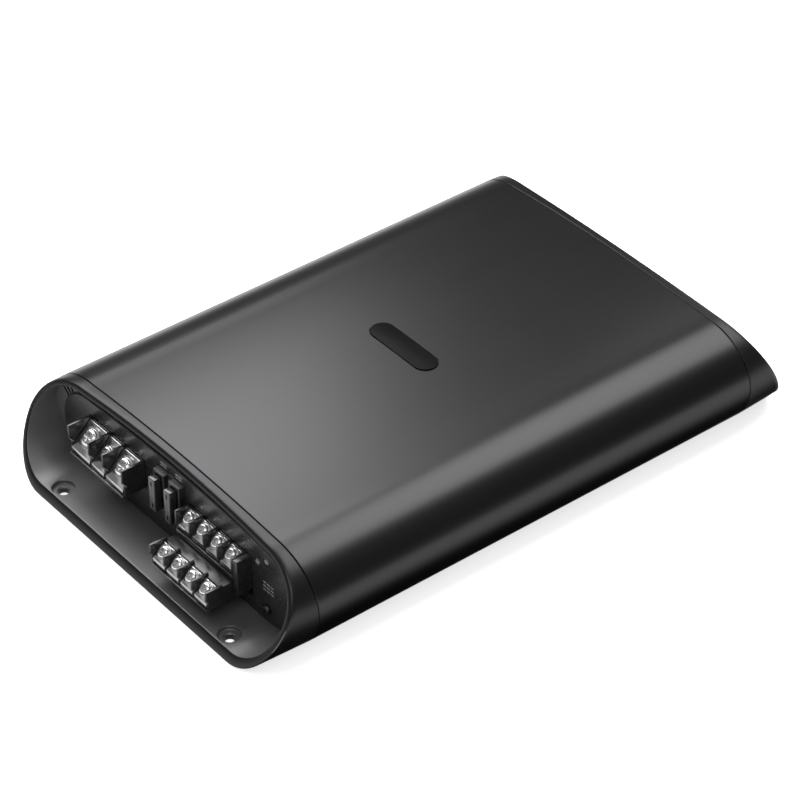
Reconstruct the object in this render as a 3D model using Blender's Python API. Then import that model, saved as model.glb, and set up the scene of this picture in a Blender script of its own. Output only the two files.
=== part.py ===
"""Four-channel car amplifier: an extruded oval sleeve between two moulded end caps.

Metres, +Z up. The origin is on the underside, below the middle of the sleeve. The sleeve
runs along Y: the terminal end faces -Y and the signal input end faces +Y.
"""

import math

import bmesh
import bpy
from mathutils import Matrix, Vector

MM = 0.001
GAP = 0.3 * MM              # between pieces that touch on the real object

# Sleeve
BODY_WIDTH = 213.0 * MM
BODY_HEIGHT = 54.3 * MM     # at the shoulders, beside the crown
CROWN = 2.7 * MM            # how far the top rises between the shoulders
BELLY_HEIGHT = 29.2 * MM    # where the section is widest
SHOULDER_REACH = 32.5 * MM  # how far the upper corner curves in
FOOT_REACH = 28.4 * MM      # how far the lower corner curves in
SLEEVE_LENGTH = 267.3 * MM
SLEEVE_WALL = 3.0 * MM
ARC_STEPS = 9
CROWN_STEPS = 6

# End caps
CAP_TOP_LENGTH = 5.6 * MM   # from the sleeve to the rim, along the top
CAP_REACH = 28.3 * MM       # how much further the tray comes out than the top
CAP_TAPER = 2.0 * MM        # how much each side draws in towards the rim
CAP_WALL = 3.1 * MM
CAP_ROOF = 2.8 * MM
TRAY_FLOOR = 5.4 * MM
FLANGE_THICKNESS = 3.0 * MM
FLANGE_LAND = 9.0 * MM      # what the flange covers beside its window
SPIGOT_LENGTH = 5.0 * MM
SPIGOT_WALL = 2.0 * MM
MOUNT_X = 68.6 * MM
MOUNT_FROM_SLEEVE = 24.3 * MM
MOUNT_HOLE = 5.4 * MM
MOUNT_RECESS = 11.5 * MM
MOUNT_RECESS_DEPTH = 2.0 * MM
VENT_SLOT_LENGTH = 6.0 * MM
VENT_SLOT_WIDTH = 1.5 * MM
VENT_SLOT_COUNT = 3

# Panels behind the caps' windows
PANEL_THICKNESS = 2.0 * MM
PANEL_SIDE_INSET = 13.0 * MM
PANEL_TOP_DROP = 5.1 * MM
PANEL_SHOULDER = 24.0 * MM
PANEL_FOOT = 20.0 * MM
PANEL_SCREW_X = 73.0 * MM
PANEL_SCREW_Z = 13.5 * MM
PANEL_SCREW_HEAD = 5.4 * MM
SCREW_RADIUS = 1.2 * MM
SCREW_LENGTH = 16.0 * MM    # behind the panel's face, into the sleeve's channel
CHANNEL_WALL = 1.6 * MM

# Angled barrier terminals
PARTITION = 1.3 * MM
PLATE_THICKNESS = 0.8 * MM
STRIP_DROP = 2.4 * MM       # how far a plate's front edge is bent down
SPEAKER_PITCH = 11.1 * MM
SPEAKER_WAYS = 4
SPEAKER_LEFT = 13.2 * MM
SPEAKER_DEPTH = 8.5 * MM
SPEAKER_TOP = 38.3 * MM
TIER_STEP_Y = 15.3 * MM
TIER_STEP_Z = 12.8 * MM
SPEAKER_SCREW = 6.4 * MM
LOWER_TIER_HEIGHT = 10.9 * MM
CHEEK = 3.5 * MM            # solid wall at the right end of the speaker tiers
CHEEK_BOTTOM = 18.0 * MM
ROOF_DROP = 0.6 * MM        # how far a block's roof lies under its partitions
POWER_CELLS = (17.0 * MM, 12.0 * MM, 15.9 * MM)
POWER_LEFT = -68.8 * MM
POWER_DEPTH = 13.4 * MM
POWER_TOP = 41.0 * MM
POWER_HEIGHT = 17.0 * MM
POWER_SCREW = 9.4 * MM
REMOTE_SCREW = 6.4 * MM
SEAT_INSET = 7.0 * MM       # how far a block reaches behind its panel's face

# Blade fuses and their holder
FUSE_HEIGHT = 19.1 * MM
FUSE_WIDTH = 5.1 * MM
FUSE_PROUD = 7.6 * MM
FUSE_HEAD_DEPTH = 4.0 * MM
FUSE_BODY_DEPTH = 12.0 * MM
FUSE_X = (-7.3 * MM, 5.1 * MM)
FUSE_Z = 34.4 * MM
FUSE_BLADE = 0.8 * MM
HOLDER_WALL = 1.5 * MM
HOLDER_PROUD = 3.4 * MM
SLIDE_CLEARANCE = 0.35 * MM

# Circuit board and what stands on it
BOARD_THICKNESS = 1.6 * MM
BOARD_Z = 7.0 * MM
BOARD_END_GAP = 3.0 * MM
RAIL_DEPTH = 4.0 * MM
RAIL_THICKNESS = 1.5 * MM
CAPACITOR_DIAMETER = 22.0 * MM
CAPACITOR_LENGTH = 35.0 * MM
CAPACITOR_X = (-57.0 * MM, -33.5 * MM, -10.0 * MM, 13.5 * MM)
CAPACITOR_Y = -78.0 * MM
TOROID_OUTER = 40.0 * MM
TOROID_HOLE = 14.0 * MM
TOROID_HEIGHT = 20.0 * MM
TOROID_Y = -10.0 * MM
CHOKE_OUTER = 19.0 * MM
CHOKE_HOLE = 6.0 * MM
CHOKE_HEIGHT = 11.0 * MM
CHOKE_X = (36.0 * MM, 58.0 * MM)
CHOKE_Y = -60.0 * MM
SINK_LENGTH = 118.0 * MM
SINK_START = -14.0 * MM
SINK_STEM = 5.0 * MM
SINK_FOOT = 16.0 * MM
SINK_X = 58.0 * MM

# Input panel
JACK_X = (-58.0 * MM, -40.0 * MM, -22.0 * MM, -4.0 * MM)
JACK_Z = 24.0 * MM
JACK_BARREL = 8.3 * MM
JACK_COLLAR = 12.0 * MM
JACK_BORE = 3.4 * MM
JACK_PROUD = 9.5 * MM
KNOB_X = (18.0 * MM, 36.0 * MM, 54.0 * MM)
KNOB_Z = 32.0 * MM
KNOB_DIAMETER = 7.0 * MM
KNOB_PROUD = 4.0 * MM
SWITCH_X = (23.0 * MM, 49.0 * MM)
SWITCH_Z = 17.0 * MM
SWITCH_TRAVEL = 3.0 * MM
SWITCH_TAB = 2.6 * MM
SWITCH_HEIGHT = 3.0 * MM
SWITCH_PROUD = 2.4 * MM
LAMP_X = (66.9 * MM, 74.1 * MM)
LAMP_Z = (38.2 * MM, 42.6 * MM)
LAMP_DIAMETER = 3.0 * MM

# Badge on the top
BADGE_LENGTH = 46.0 * MM
BADGE_WIDTH = 13.0 * MM
BADGE_THICKNESS = 1.0 * MM
BADGE_PROUD = 0.4 * MM

UPPER_TIER_HEIGHT = TIER_STEP_Z + ROOF_DROP - GAP
SPEAKER_RIGHT = SPEAKER_LEFT + SPEAKER_PITCH * SPEAKER_WAYS + PARTITION / 2
SEAM_Y = SLEEVE_LENGTH / 2
RIM_TOP_Y = SEAM_Y + CAP_TOP_LENGTH
FACE_Y = RIM_TOP_Y - 0.25 * MM
FLANGE_FRONT_Y = FACE_Y - PANEL_THICKNESS - GAP
FLANGE_BACK_Y = FLANGE_FRONT_Y - FLANGE_THICKNESS
MOUNT_Y = SEAM_Y + MOUNT_FROM_SLEEVE
FRONT = -1
REAR = 1


# ---------------------------------------------------------------- tools

def finish(name, colour, roughness, metallic):
    """A Principled material of one colour."""
    material = bpy.data.materials.new(name)
    material.use_nodes = True
    shader = material.node_tree.nodes["Principled BSDF"]
    shader.inputs["Base Color"].default_value = (*colour, 1.0)
    shader.inputs["Roughness"].default_value = roughness
    shader.inputs["Metallic"].default_value = metallic
    return material


def add_object(name, mesh, material=None):
    """A new object in the scene, with its normals recalculated."""
    bm = bmesh.new()
    bm.from_mesh(mesh)
    bmesh.ops.recalc_face_normals(bm, faces=bm.faces)
    bm.to_mesh(mesh)
    bm.free()
    obj = bpy.data.objects.new(name, mesh)
    bpy.context.scene.collection.objects.link(obj)
    if material:
        mesh.materials.append(material)
    return obj


def combine(target, tools, operation="UNION"):
    """Joins the tools to the target, or cuts them from it, and removes them."""
    for tool in tools:
        boolean = target.modifiers.new("combine", "BOOLEAN")
        boolean.operation = operation
        boolean.object = tool
        graph = bpy.context.evaluated_depsgraph_get()
        mesh = bpy.data.meshes.new_from_object(target.evaluated_get(graph))
        target.modifiers.remove(boolean)
        target.data = mesh
        bpy.data.objects.remove(tool)
    return target


def cut(target, *tools):
    """Cuts the tools from the target."""
    return combine(target, tools, "DIFFERENCE")


def join(target, *tools):
    """Joins the tools to the target."""
    return combine(target, tools, "UNION")


def smooth(obj, degrees=35):
    """Shades round faces smooth and keeps sharp edges."""
    obj.data.shade_smooth()
    obj.data.set_sharp_from_angle(angle=math.radians(degrees))
    return obj


def loft(name, sections, material=None):
    """A closed solid through sections that have the same number of points."""
    bm = bmesh.new()
    rings = [[bm.verts.new(point) for point in section] for section in sections]
    for lower, upper in zip(rings, rings[1:]):
        for i in range(len(lower)):
            k = (i + 1) % len(lower)
            bm.faces.new((lower[i], lower[k], upper[k], upper[i]))
    bm.faces.new(rings[0][::-1])
    bm.faces.new(rings[-1])
    mesh = bpy.data.meshes.new(name)
    bm.to_mesh(mesh)
    bm.free()
    return add_object(name, mesh, material)


def block(name, low, high, material=None):
    """A box between two corners."""
    (x0, y0, z0), (x1, y1, z1) = low, high
    outline = ((x0, y0), (x1, y0), (x1, y1), (x0, y1))
    return loft(name, [[(x, y, z) for x, y in outline] for z in (z0, z1)], material)


def slab(name, outline, low, high, axis, material=None):
    """An outline extruded from low to high along X, Y or Z. It holds the other two coordinates."""
    def place(point, along):
        a, b = point
        return {"X": (along, a, b), "Y": (a, along, b), "Z": (a, b, along)}[axis]
    return loft(name, [[place(p, along) for p in outline] for along in (low, high)], material)


def rod(name, start, end, radius, material=None, sides=20, end_radius=None):
    """A cylinder, or a cone, from start to end."""
    start, end = Vector(start), Vector(end)
    turn = (end - start).to_track_quat("Z", "Y")
    radii = (radius, radius if end_radius is None else end_radius)
    sections = []
    for centre, r in zip((start, end), radii):
        angles = [2 * math.pi * i / sides for i in range(sides)]
        sections.append([centre + turn @ Vector((r * math.cos(a), r * math.sin(a), 0)) for a in angles])
    return loft(name, sections, material)


def turned(name, profile, material=None, sides=20):
    """A solid turned about its own Z. The profile lists (height, radius), and both ends are closed."""
    sections = []
    for height, r in profile:
        angles = [2 * math.pi * i / sides for i in range(sides)]
        sections.append([(r * math.cos(a), r * math.sin(a), height) for a in angles])
    return loft(name, sections, material)


def cross_recess(height, size, depth):
    """A tapered Phillips cross about Z whose mouth is at this height."""
    sections = []
    for z, scale in ((height - depth, 0.5), (height + GAP, 1.0)):
        half, wide = size / 2 * scale, size / 7 * scale
        arm = ((half, -wide), (half, wide), (wide, wide))
        ring = []
        for quarter in range(4):
            turn = Matrix.Rotation(quarter * math.pi / 2, 2)
            ring += [(*(turn @ Vector(corner)), z) for corner in arm]
        sections.append(ring)
    return loft("recess", sections)


def place(obj, base, direction):
    """Moves a piece made about Z so that its origin is at base and its Z points along direction."""
    obj.location = base
    obj.rotation_mode = "QUATERNION"
    obj.rotation_quaternion = Vector(direction).to_track_quat("Z", "Y")
    return obj


# ---------------------------------------------------------------- sections

def oval(half_width, bottom, top, crown, belly, shoulder, foot, steps=ARC_STEPS):
    """Outline (x, z) of a flat-bottomed oval with a crowned top, anticlockwise from the foot."""
    right = []
    for i in range(steps + 1):
        angle = math.pi / 2 * i / steps
        right.append((half_width - foot + foot * math.sin(angle), belly - (belly - bottom) * math.cos(angle)))
    for i in range(1, steps + 1):
        angle = math.pi / 2 * i / steps
        right.append((half_width - shoulder + shoulder * math.cos(angle), belly + (top - belly) * math.sin(angle)))
    flat = half_width - shoulder
    for i in range(1, CROWN_STEPS):
        x = flat * (1 - i / CROWN_STEPS)
        right.append((x, top + crown * (1 - (x / flat) ** 2)))
    left = [(-x, z) for x, z in reversed(right)]
    return right + [(0, top + crown)] + left


def body_outline(inset=0.0, side=0.0, roof=None, floor=None):
    """The sleeve's section, brought in by inset, or by its own amount at the side, roof and floor."""
    side = side or inset
    roof = inset if roof is None else roof
    floor = inset if floor is None else floor
    return oval(
        BODY_WIDTH / 2 - side, floor, BODY_HEIGHT - roof, CROWN,
        BELLY_HEIGHT, SHOULDER_REACH - side, FOOT_REACH - side,
    )


def panel_outline(grow=0.0):
    """Outline (x, z) of an end panel."""
    return oval(
        BODY_WIDTH / 2 - PANEL_SIDE_INSET + grow, TRAY_FLOOR + GAP - grow,
        BODY_HEIGHT - PANEL_TOP_DROP + grow, CROWN,
        BELLY_HEIGHT - 1.5 * MM, PANEL_SHOULDER, PANEL_FOOT,
    )


def rim_y(z):
    """How far out the cap's slanted rim lies at height z."""
    return RIM_TOP_Y + (BODY_HEIGHT - z) / BODY_HEIGHT * CAP_REACH


# ---------------------------------------------------------------- casing

def make_sleeve(material):
    """The extruded casing with its board rails and screw channels."""
    sleeve = slab("heatsink_sleeve", body_outline(), -SEAM_Y, SEAM_Y, "Y", material)
    cut(sleeve, slab("bore", body_outline(SLEEVE_WALL), -SEAM_Y - MM, SEAM_Y + MM, "Y"))
    for side in (-1, 1):
        for z in (BOARD_Z - GAP - RAIL_THICKNESS, BOARD_Z + BOARD_THICKNESS + GAP):
            wall = inner_half_width(z + RAIL_THICKNESS / 2)
            join(sleeve, block(
                "rail",
                (*sorted_pair(side * (wall - RAIL_DEPTH), side * (wall + 1.5 * MM))[:1], -SEAM_Y, z),
                (*sorted_pair(side * (wall - RAIL_DEPTH), side * (wall + 1.5 * MM))[1:], SEAM_Y, z + RAIL_THICKNESS),
            ))
        x, wall = side * PANEL_SCREW_X, inner_half_width(PANEL_SCREW_Z)
        x0, x1 = sorted_pair(x, side * (wall + 1.5 * MM))
        web = CHANNEL_WALL / 2
        join(sleeve, block("web", (x0, -SEAM_Y, PANEL_SCREW_Z - web), (x1, SEAM_Y, PANEL_SCREW_Z + web)))
        centre = (x, PANEL_SCREW_Z)
        join(sleeve, slab("channel", circle(centre, SCREW_RADIUS + GAP + CHANNEL_WALL), -SEAM_Y, SEAM_Y, "Y"))
        cut(sleeve, slab("bore", circle(centre, SCREW_RADIUS + GAP), -SEAM_Y - MM, SEAM_Y + MM, "Y"))
    seat = badge_outline(GAP)
    floor = BODY_HEIGHT + CROWN + BADGE_PROUD - BADGE_THICKNESS - GAP
    cut(sleeve, slab("badge_pocket", seat, floor, floor + 5 * MM, "Z"))
    return smooth(sleeve)


def circle(centre, radius, sides=16):
    """Points round a circle in a plane."""
    angles = [2 * math.pi * i / sides for i in range(sides)]
    return [(centre[0] + radius * math.cos(a), centre[1] + radius * math.sin(a)) for a in angles]


def sorted_pair(a, b):
    """The two values, smaller first."""
    return (a, b) if a < b else (b, a)


def inner_half_width(z):
    """Half the width inside the sleeve at height z, below the belly."""
    bottom, foot = SLEEVE_WALL, FOOT_REACH - SLEEVE_WALL
    share = (BELLY_HEIGHT - z) / (BELLY_HEIGHT - bottom)
    return BODY_WIDTH / 2 - SLEEVE_WALL - foot + foot * math.sqrt(1 - share ** 2)


def cap_section(y_of_z, side, roof, floor):
    """A section of the cap whose points lie at y_of_z(z)."""
    return [(x, y_of_z(z), z) for x, z in body_outline(side=side, roof=roof, floor=floor)]


def make_cap(name, facing, material):
    """A moulded end cap: oval mouth cut on a slant, tray floor, flange and spigot."""
    def out(y):
        return facing * y
    far = RIM_TOP_Y + CAP_REACH + 10 * MM
    length = far - SEAM_Y
    full_taper = CAP_TAPER * length / CAP_REACH
    tiny = 0.01 * MM
    outer = loft(name, [
        cap_section(lambda z: out(SEAM_Y + GAP), tiny, 0.0, 0.0),
        cap_section(lambda z: out(far), full_taper, 0.0, 0.0),
    ], material)
    cut(outer, loft("mouth", [
        cap_section(lambda z: out(FLANGE_FRONT_Y), CAP_WALL, CAP_ROOF, TRAY_FLOOR),
        cap_section(lambda z: out(far + MM), CAP_WALL + full_taper, CAP_ROOF, TRAY_FLOOR),
    ]))
    window = oval(
        BODY_WIDTH / 2 - PANEL_SIDE_INSET - FLANGE_LAND, TRAY_FLOOR + 4 * MM,
        BODY_HEIGHT - PANEL_TOP_DROP - 5 * MM, CROWN, BELLY_HEIGHT, PANEL_SHOULDER, PANEL_FOOT,
    )
    spigot = slab(
        "spigot", body_outline(SLEEVE_WALL + SLIDE_CLEARANCE),
        *sorted_pair(out(SEAM_Y - SPIGOT_LENGTH), out(SEAM_Y + MM)), "Y",
    )
    cut(spigot, slab(
        "hollow", body_outline(SLEEVE_WALL + SLIDE_CLEARANCE + SPIGOT_WALL),
        *sorted_pair(out(SEAM_Y - SPIGOT_LENGTH - MM), out(SEAM_Y + 0.5 * MM)), "Y",
    ))
    for side in (-1, 1):
        wall = side * (BODY_WIDTH / 2)
        low, high = sorted_pair(wall, side * (BODY_WIDTH / 2 - 32 * MM))
        x, y = side * PANEL_SCREW_X, out(SEAM_Y)
        room = SCREW_RADIUS + CHANNEL_WALL + 3 * GAP
        cut(spigot, slab("channel_room", circle((x, PANEL_SCREW_Z), room), *sorted_pair(y, out(SEAM_Y - 9 * MM)), "Y"))
        cut(spigot, block(
            "board_notch",
            (low, min(out(SEAM_Y - SPIGOT_LENGTH - MM), out(SEAM_Y)), BOARD_Z - RAIL_THICKNESS - 3 * GAP),
            (high, max(out(SEAM_Y - SPIGOT_LENGTH - MM), out(SEAM_Y)), PANEL_SCREW_Z + CHANNEL_WALL),
        ))
    join(outer, spigot)
    cut(outer, slab("window", window, *sorted_pair(out(SEAM_Y - 10 * MM), out(FLANGE_FRONT_Y + MM)), "Y"))
    slant = [(out(RIM_TOP_Y), BODY_HEIGHT), (out(rim_y(-5 * MM)), -5 * MM),
             (out(far + 5 * MM), -5 * MM), (out(far + 5 * MM), BODY_HEIGHT + 10 * MM),
             (out(rim_y(BODY_HEIGHT + 10 * MM)), BODY_HEIGHT + 10 * MM)]
    cut(outer, slab("slant", slant, -BODY_WIDTH, BODY_WIDTH, "X"))
    for side in (-1, 1):
        x, y = side * MOUNT_X, out(MOUNT_Y)
        cut(outer, rod("mount_hole", (x, y, -MM), (x, y, TRAY_FLOOR + MM), MOUNT_HOLE / 2))
        cut(outer, rod(
            "mount_recess", (x, y, TRAY_FLOOR - MOUNT_RECESS_DEPTH), (x, y, TRAY_FLOOR + MM), MOUNT_RECESS / 2,
        ))
        for i in range(VENT_SLOT_COUNT):
            cut(outer, vent_slot(side, i, out))
        x = side * PANEL_SCREW_X
        ends = (x, out(SEAM_Y - 8 * MM), PANEL_SCREW_Z), (x, out(FACE_Y), PANEL_SCREW_Z)
        cut(outer, rod("screw_hole", *ends, SCREW_RADIUS + GAP, sides=16))
    if facing == FRONT:
        for x, z in zip(LAMP_X, LAMP_Z):
            cut(outer, rod("lamp_room", (x, out(SEAM_Y - 8 * MM), z), (x, out(FACE_Y), z), LAMP_DIAMETER / 2 + 1.2 * MM))
    return smooth(outer)


def vent_slot(side, index, out):
    """A short slot through the flange, outside the panel's upper corner."""
    angle = math.radians(36 + 9 * index)
    middle = Vector((
        side * (BODY_WIDTH / 2 - SHOULDER_REACH + (SHOULDER_REACH - 8.2 * MM) * math.cos(angle)), 0,
        BELLY_HEIGHT + (BODY_HEIGHT - BELLY_HEIGHT - 6.4 * MM) * math.sin(angle),
    ))
    half_l, half_w = VENT_SLOT_LENGTH / 2, VENT_SLOT_WIDTH / 2
    along = Vector((side * math.cos(angle), 0, math.sin(angle)))
    across = Vector((-side * math.sin(angle), 0, math.cos(angle)))
    corners = [middle + along * a + across * b for a, b in (
        (-half_l, -half_w), (half_l, -half_w), (half_l, half_w), (-half_l, half_w))]
    return slab("vent", [(c.x, c.z) for c in corners], *sorted_pair(out(SEAM_Y - 8 * MM), out(FACE_Y)), "Y")


def make_panel(name, facing, windows, holes, material):
    """A flat end panel. windows are (x0, x1, z0, z1) and holes are (x, z, diameter)."""
    low, high = sorted_pair(facing * (FACE_Y - PANEL_THICKNESS), facing * FACE_Y)
    panel = slab(name, panel_outline(), low, high, "Y", material)
    for x0, x1, z0, z1 in windows:
        cut(panel, block("window", (x0, low - MM, z0), (x1, high + MM, z1)))
    for side in (-1, 1):
        holes = holes + [(side * PANEL_SCREW_X, PANEL_SCREW_Z, 2 * (SCREW_RADIUS + GAP))]
    for x, z, diameter in holes:
        cut(panel, rod("hole", (x, low - MM, z), (x, high + MM, z), diameter / 2))
    return smooth(panel)


def make_panel_screw(name, facing, side, material):
    """A small cross-head screw that holds a panel to its flange."""
    face = Vector((side * PANEL_SCREW_X, facing * FACE_Y, PANEL_SCREW_Z))
    head = PANEL_SCREW_HEAD / 2
    profile = [(-SCREW_LENGTH, SCREW_RADIUS), (GAP, SCREW_RADIUS), (GAP, head), (GAP + 0.9 * MM, head),
               (GAP + 1.6 * MM, head * 0.6)]
    screw = turned(name, profile, material, sides=16)
    cut(screw, cross_recess(GAP + 1.6 * MM, 2.6 * MM, 1.1 * MM))
    return place(smooth(screw), face, (0, facing, 0))


# ---------------------------------------------------------------- terminals

class Slope:
    """The 45 degree seat of a row of terminals. s runs down it and h stands out from it."""

    def __init__(self, y, z):
        self.corner = Vector((0, y, z))
        self.down = Vector((0, -1, -1)).normalized()
        self.out = Vector((0, -1, 1)).normalized()

    def at(self, s, h, x=0.0):
        point = self.corner + self.down * s + self.out * h
        point.x = x
        return point

    def yz(self, s, h):
        point = self.at(s, h)
        return point.y, point.z


def make_terminal_block(name, cells, left, back_y, slope_y, top, depth, height, material):
    """A barrier strip: an angled seat between partitions. cells are the pitches from left."""
    slope = Slope(slope_y, top)
    run = (depth - 1.0 * MM) * math.sqrt(2)
    under = PLATE_THICKNESS + GAP
    front = slope_y - depth
    foot_y, foot_z = slope.yz(run, -under)
    step_z = foot_z - 2.6 * MM
    outline = [
        (back_y, top - ROOF_DROP), slope.yz(0.8 * MM, -under), (foot_y, foot_z), (foot_y, step_z),
        (front, step_z), (front, top - height), (back_y, top - height),
    ]
    width = sum(cells) + PARTITION
    housing = slab(name, outline, left - PARTITION / 2, left + width - PARTITION / 2, "X", material)
    x = left
    fin = [(slope_y + 1.2 * MM, top), (front, top), (front, step_z - 0.4 * MM), (slope_y + 1.2 * MM, step_z - 0.4 * MM)]
    for cell in (*cells, None):
        join(housing, slab("partition", fin, x - PARTITION / 2, x + PARTITION / 2, "X"))
        if cell:
            x += cell
    return housing, slope, run


def fit_terminals(housing, slope, run, cells, left, prefix, screw_sizes, plate_metal, screw_metal):
    """A plate and a clamping screw in each cell, and the screw's hole in the housing."""
    x = left
    for index, (cell, head) in enumerate(zip(cells, screw_sizes), start=1):
        middle = x + cell / 2
        half = cell / 2 - PARTITION / 2 - GAP
        shank = head * 0.27
        centre = slope.at(run / 2, 0, middle)
        deep = 4.6 * MM
        cut(housing, rod("hole", centre - slope.out * (deep + MM), centre + slope.out * MM, shank + 0.4 * MM, sides=16))
        bend = run + GAP
        y_bend, z_bend = slope.yz(bend, 0)
        y_back = slope.yz(bend, -PLATE_THICKNESS)[0]
        outline = [
            slope.yz(1.2 * MM, 0), (y_bend, z_bend), (y_bend, z_bend - STRIP_DROP), (y_back, z_bend - STRIP_DROP),
            slope.yz(bend, -PLATE_THICKNESS), slope.yz(1.2 * MM, -PLATE_THICKNESS),
        ]
        plate = slab(f"{prefix}_plate_{index}", outline, middle - half, middle + half, "X", plate_metal)
        cut(plate, rod("hole", centre - slope.out * 2 * MM, centre + slope.out * MM, shank + 0.3 * MM, sides=16))
        r = head / 2
        washer = min(half - GAP, r * 1.25)
        profile = [(-deep, shank), (GAP, shank), (GAP, washer), (GAP + 0.6 * MM, washer), (GAP + 0.6 * MM, r),
                   (GAP + 1.5 * MM, r), (GAP + 2.3 * MM, r * 0.72)]
        screw = turned(f"{prefix}_screw_{index}", profile, screw_metal)
        cut(screw, cross_recess(GAP + 2.3 * MM, head * 0.55, 1.5 * MM))
        place(smooth(screw), centre, slope.out)
        x += cell
    return housing


def make_front_terminals(finishes):
    """The two speaker tiers and the power block of the terminal end."""
    face = -FACE_Y
    back = face + SEAT_INSET
    speaker_cells = (SPEAKER_PITCH,) * SPEAKER_WAYS
    tiers = (
        ("speaker_upper", face, SPEAKER_TOP, UPPER_TIER_HEIGHT),
        ("speaker_lower", face - TIER_STEP_Y, SPEAKER_TOP - TIER_STEP_Z, LOWER_TIER_HEIGHT),
    )
    for prefix, slope_y, top, height in tiers:
        housing, slope, run = make_terminal_block(
            f"{prefix}_housing", speaker_cells, SPEAKER_LEFT, back, slope_y, top,
            SPEAKER_DEPTH, height, finishes["black_plastic"],
        )
        if prefix == "speaker_upper":
            low = (SPEAKER_RIGHT - PARTITION, face - SPEAKER_DEPTH, SPEAKER_TOP - UPPER_TIER_HEIGHT)
            join(housing, block("cheek", low, (SPEAKER_RIGHT + CHEEK, back, SPEAKER_TOP)))
            low = (SPEAKER_RIGHT + GAP, face - SPEAKER_DEPTH, CHEEK_BOTTOM)
            join(housing, block("apron", low, (SPEAKER_RIGHT + CHEEK, back, SPEAKER_TOP)))
        fit_terminals(
            housing, slope, run, speaker_cells, SPEAKER_LEFT, prefix, (SPEAKER_SCREW,) * SPEAKER_WAYS,
            finishes["nickel"], finishes["screw_steel"],
        )
    housing, slope, run = make_terminal_block(
        "power_housing", POWER_CELLS, POWER_LEFT, back, face, POWER_TOP, POWER_DEPTH, POWER_HEIGHT,
        finishes["black_plastic"],
    )
    fit_terminals(
        housing, slope, run, POWER_CELLS, POWER_LEFT, "power", (POWER_SCREW, REMOTE_SCREW, POWER_SCREW),
        finishes["nickel"], finishes["screw_steel"],
    )


def front_windows():
    """Openings (x0, x1, z0, z1) in the terminal panel for the blocks and the fuse holder."""
    half = PARTITION / 2 + GAP
    lower_bottom = SPEAKER_TOP - TIER_STEP_Z - LOWER_TIER_HEIGHT
    power_right = POWER_LEFT + sum(POWER_CELLS)
    return [
        (SPEAKER_LEFT - half, SPEAKER_RIGHT + CHEEK + GAP, lower_bottom - GAP, SPEAKER_TOP + GAP),
        (POWER_LEFT - half, power_right + half, POWER_TOP - POWER_HEIGHT - GAP, POWER_TOP + GAP),
        (FUSE_X[0] - holder_half() - GAP, FUSE_X[1] + holder_half() + GAP,
         FUSE_Z - FUSE_HEIGHT / 2 - HOLDER_WALL - SLIDE_CLEARANCE - GAP,
         FUSE_Z + FUSE_HEIGHT / 2 + HOLDER_WALL + SLIDE_CLEARANCE + GAP),
    ]


# ---------------------------------------------------------------- fuses

def holder_half():
    """Half the width of the holder's collar round one fuse."""
    return FUSE_WIDTH / 2 + SLIDE_CLEARANCE + HOLDER_WALL


def make_fuses(finishes):
    """Two blade fuses, and the holder that they pull out of."""
    face = -FACE_Y
    inner = face - FUSE_PROUD + FUSE_BODY_DEPTH + FUSE_HEAD_DEPTH
    tall = FUSE_HEIGHT / 2 + SLIDE_CLEARANCE
    holder = block(
        "fuse_holder",
        (FUSE_X[0] - holder_half(), face - HOLDER_PROUD, FUSE_Z - tall - HOLDER_WALL),
        (FUSE_X[1] + holder_half(), inner + 6 * MM, FUSE_Z + tall + HOLDER_WALL),
        finishes["black_plastic"],
    )
    middle = (FUSE_X[0] + FUSE_X[1]) / 2
    between = (FUSE_X[1] - FUSE_X[0]) / 2 - holder_half()
    cut(holder, block(
        "valley", (middle - between, face - HOLDER_PROUD - MM, FUSE_Z - tall - 5 * MM),
        (middle + between, face - GAP, FUSE_Z + tall + 5 * MM),
    ))
    for x in FUSE_X:
        half = FUSE_WIDTH / 2 + SLIDE_CLEARANCE
        cut(holder, block(
            "pocket", (x - half, face - HOLDER_PROUD - MM, FUSE_Z - tall), (x + half, inner + GAP, FUSE_Z + tall),
        ))
        for way in (-1, 1):
            z = FUSE_Z + way * 5.0 * MM
            cut(holder, block(
                "blade_slot", (x - 0.9 * MM, inner - MM, z - 3.0 * MM), (x + 0.9 * MM, inner + 7 * MM, z + 3.0 * MM),
            ))
    for name, x in zip(("fuse_left", "fuse_right"), FUSE_X):
        front = face - FUSE_PROUD
        fuse = block(
            name, (x - FUSE_WIDTH / 2, front, FUSE_Z - FUSE_HEIGHT / 2),
            (x + FUSE_WIDTH / 2, front + FUSE_HEAD_DEPTH, FUSE_Z + FUSE_HEIGHT / 2), finishes["fuse_plastic"],
        )
        waist = FUSE_HEIGHT / 2 - 1.2 * MM
        join(fuse, block(
            "body", (x - FUSE_WIDTH / 2 + 0.7 * MM, front + FUSE_HEAD_DEPTH - 0.5 * MM, FUSE_Z - waist),
            (x + FUSE_WIDTH / 2 - 0.7 * MM, inner, FUSE_Z + waist),
        ))
        for way in (-1, 1):
            z = FUSE_Z + way * 5.0 * MM
            join(fuse, block(
                "blade", (x - FUSE_BLADE / 2, inner - MM, z - 2.6 * MM), (x + FUSE_BLADE / 2, inner + 5 * MM, z + 2.6 * MM),
            ))


# ---------------------------------------------------------------- inside

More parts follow.
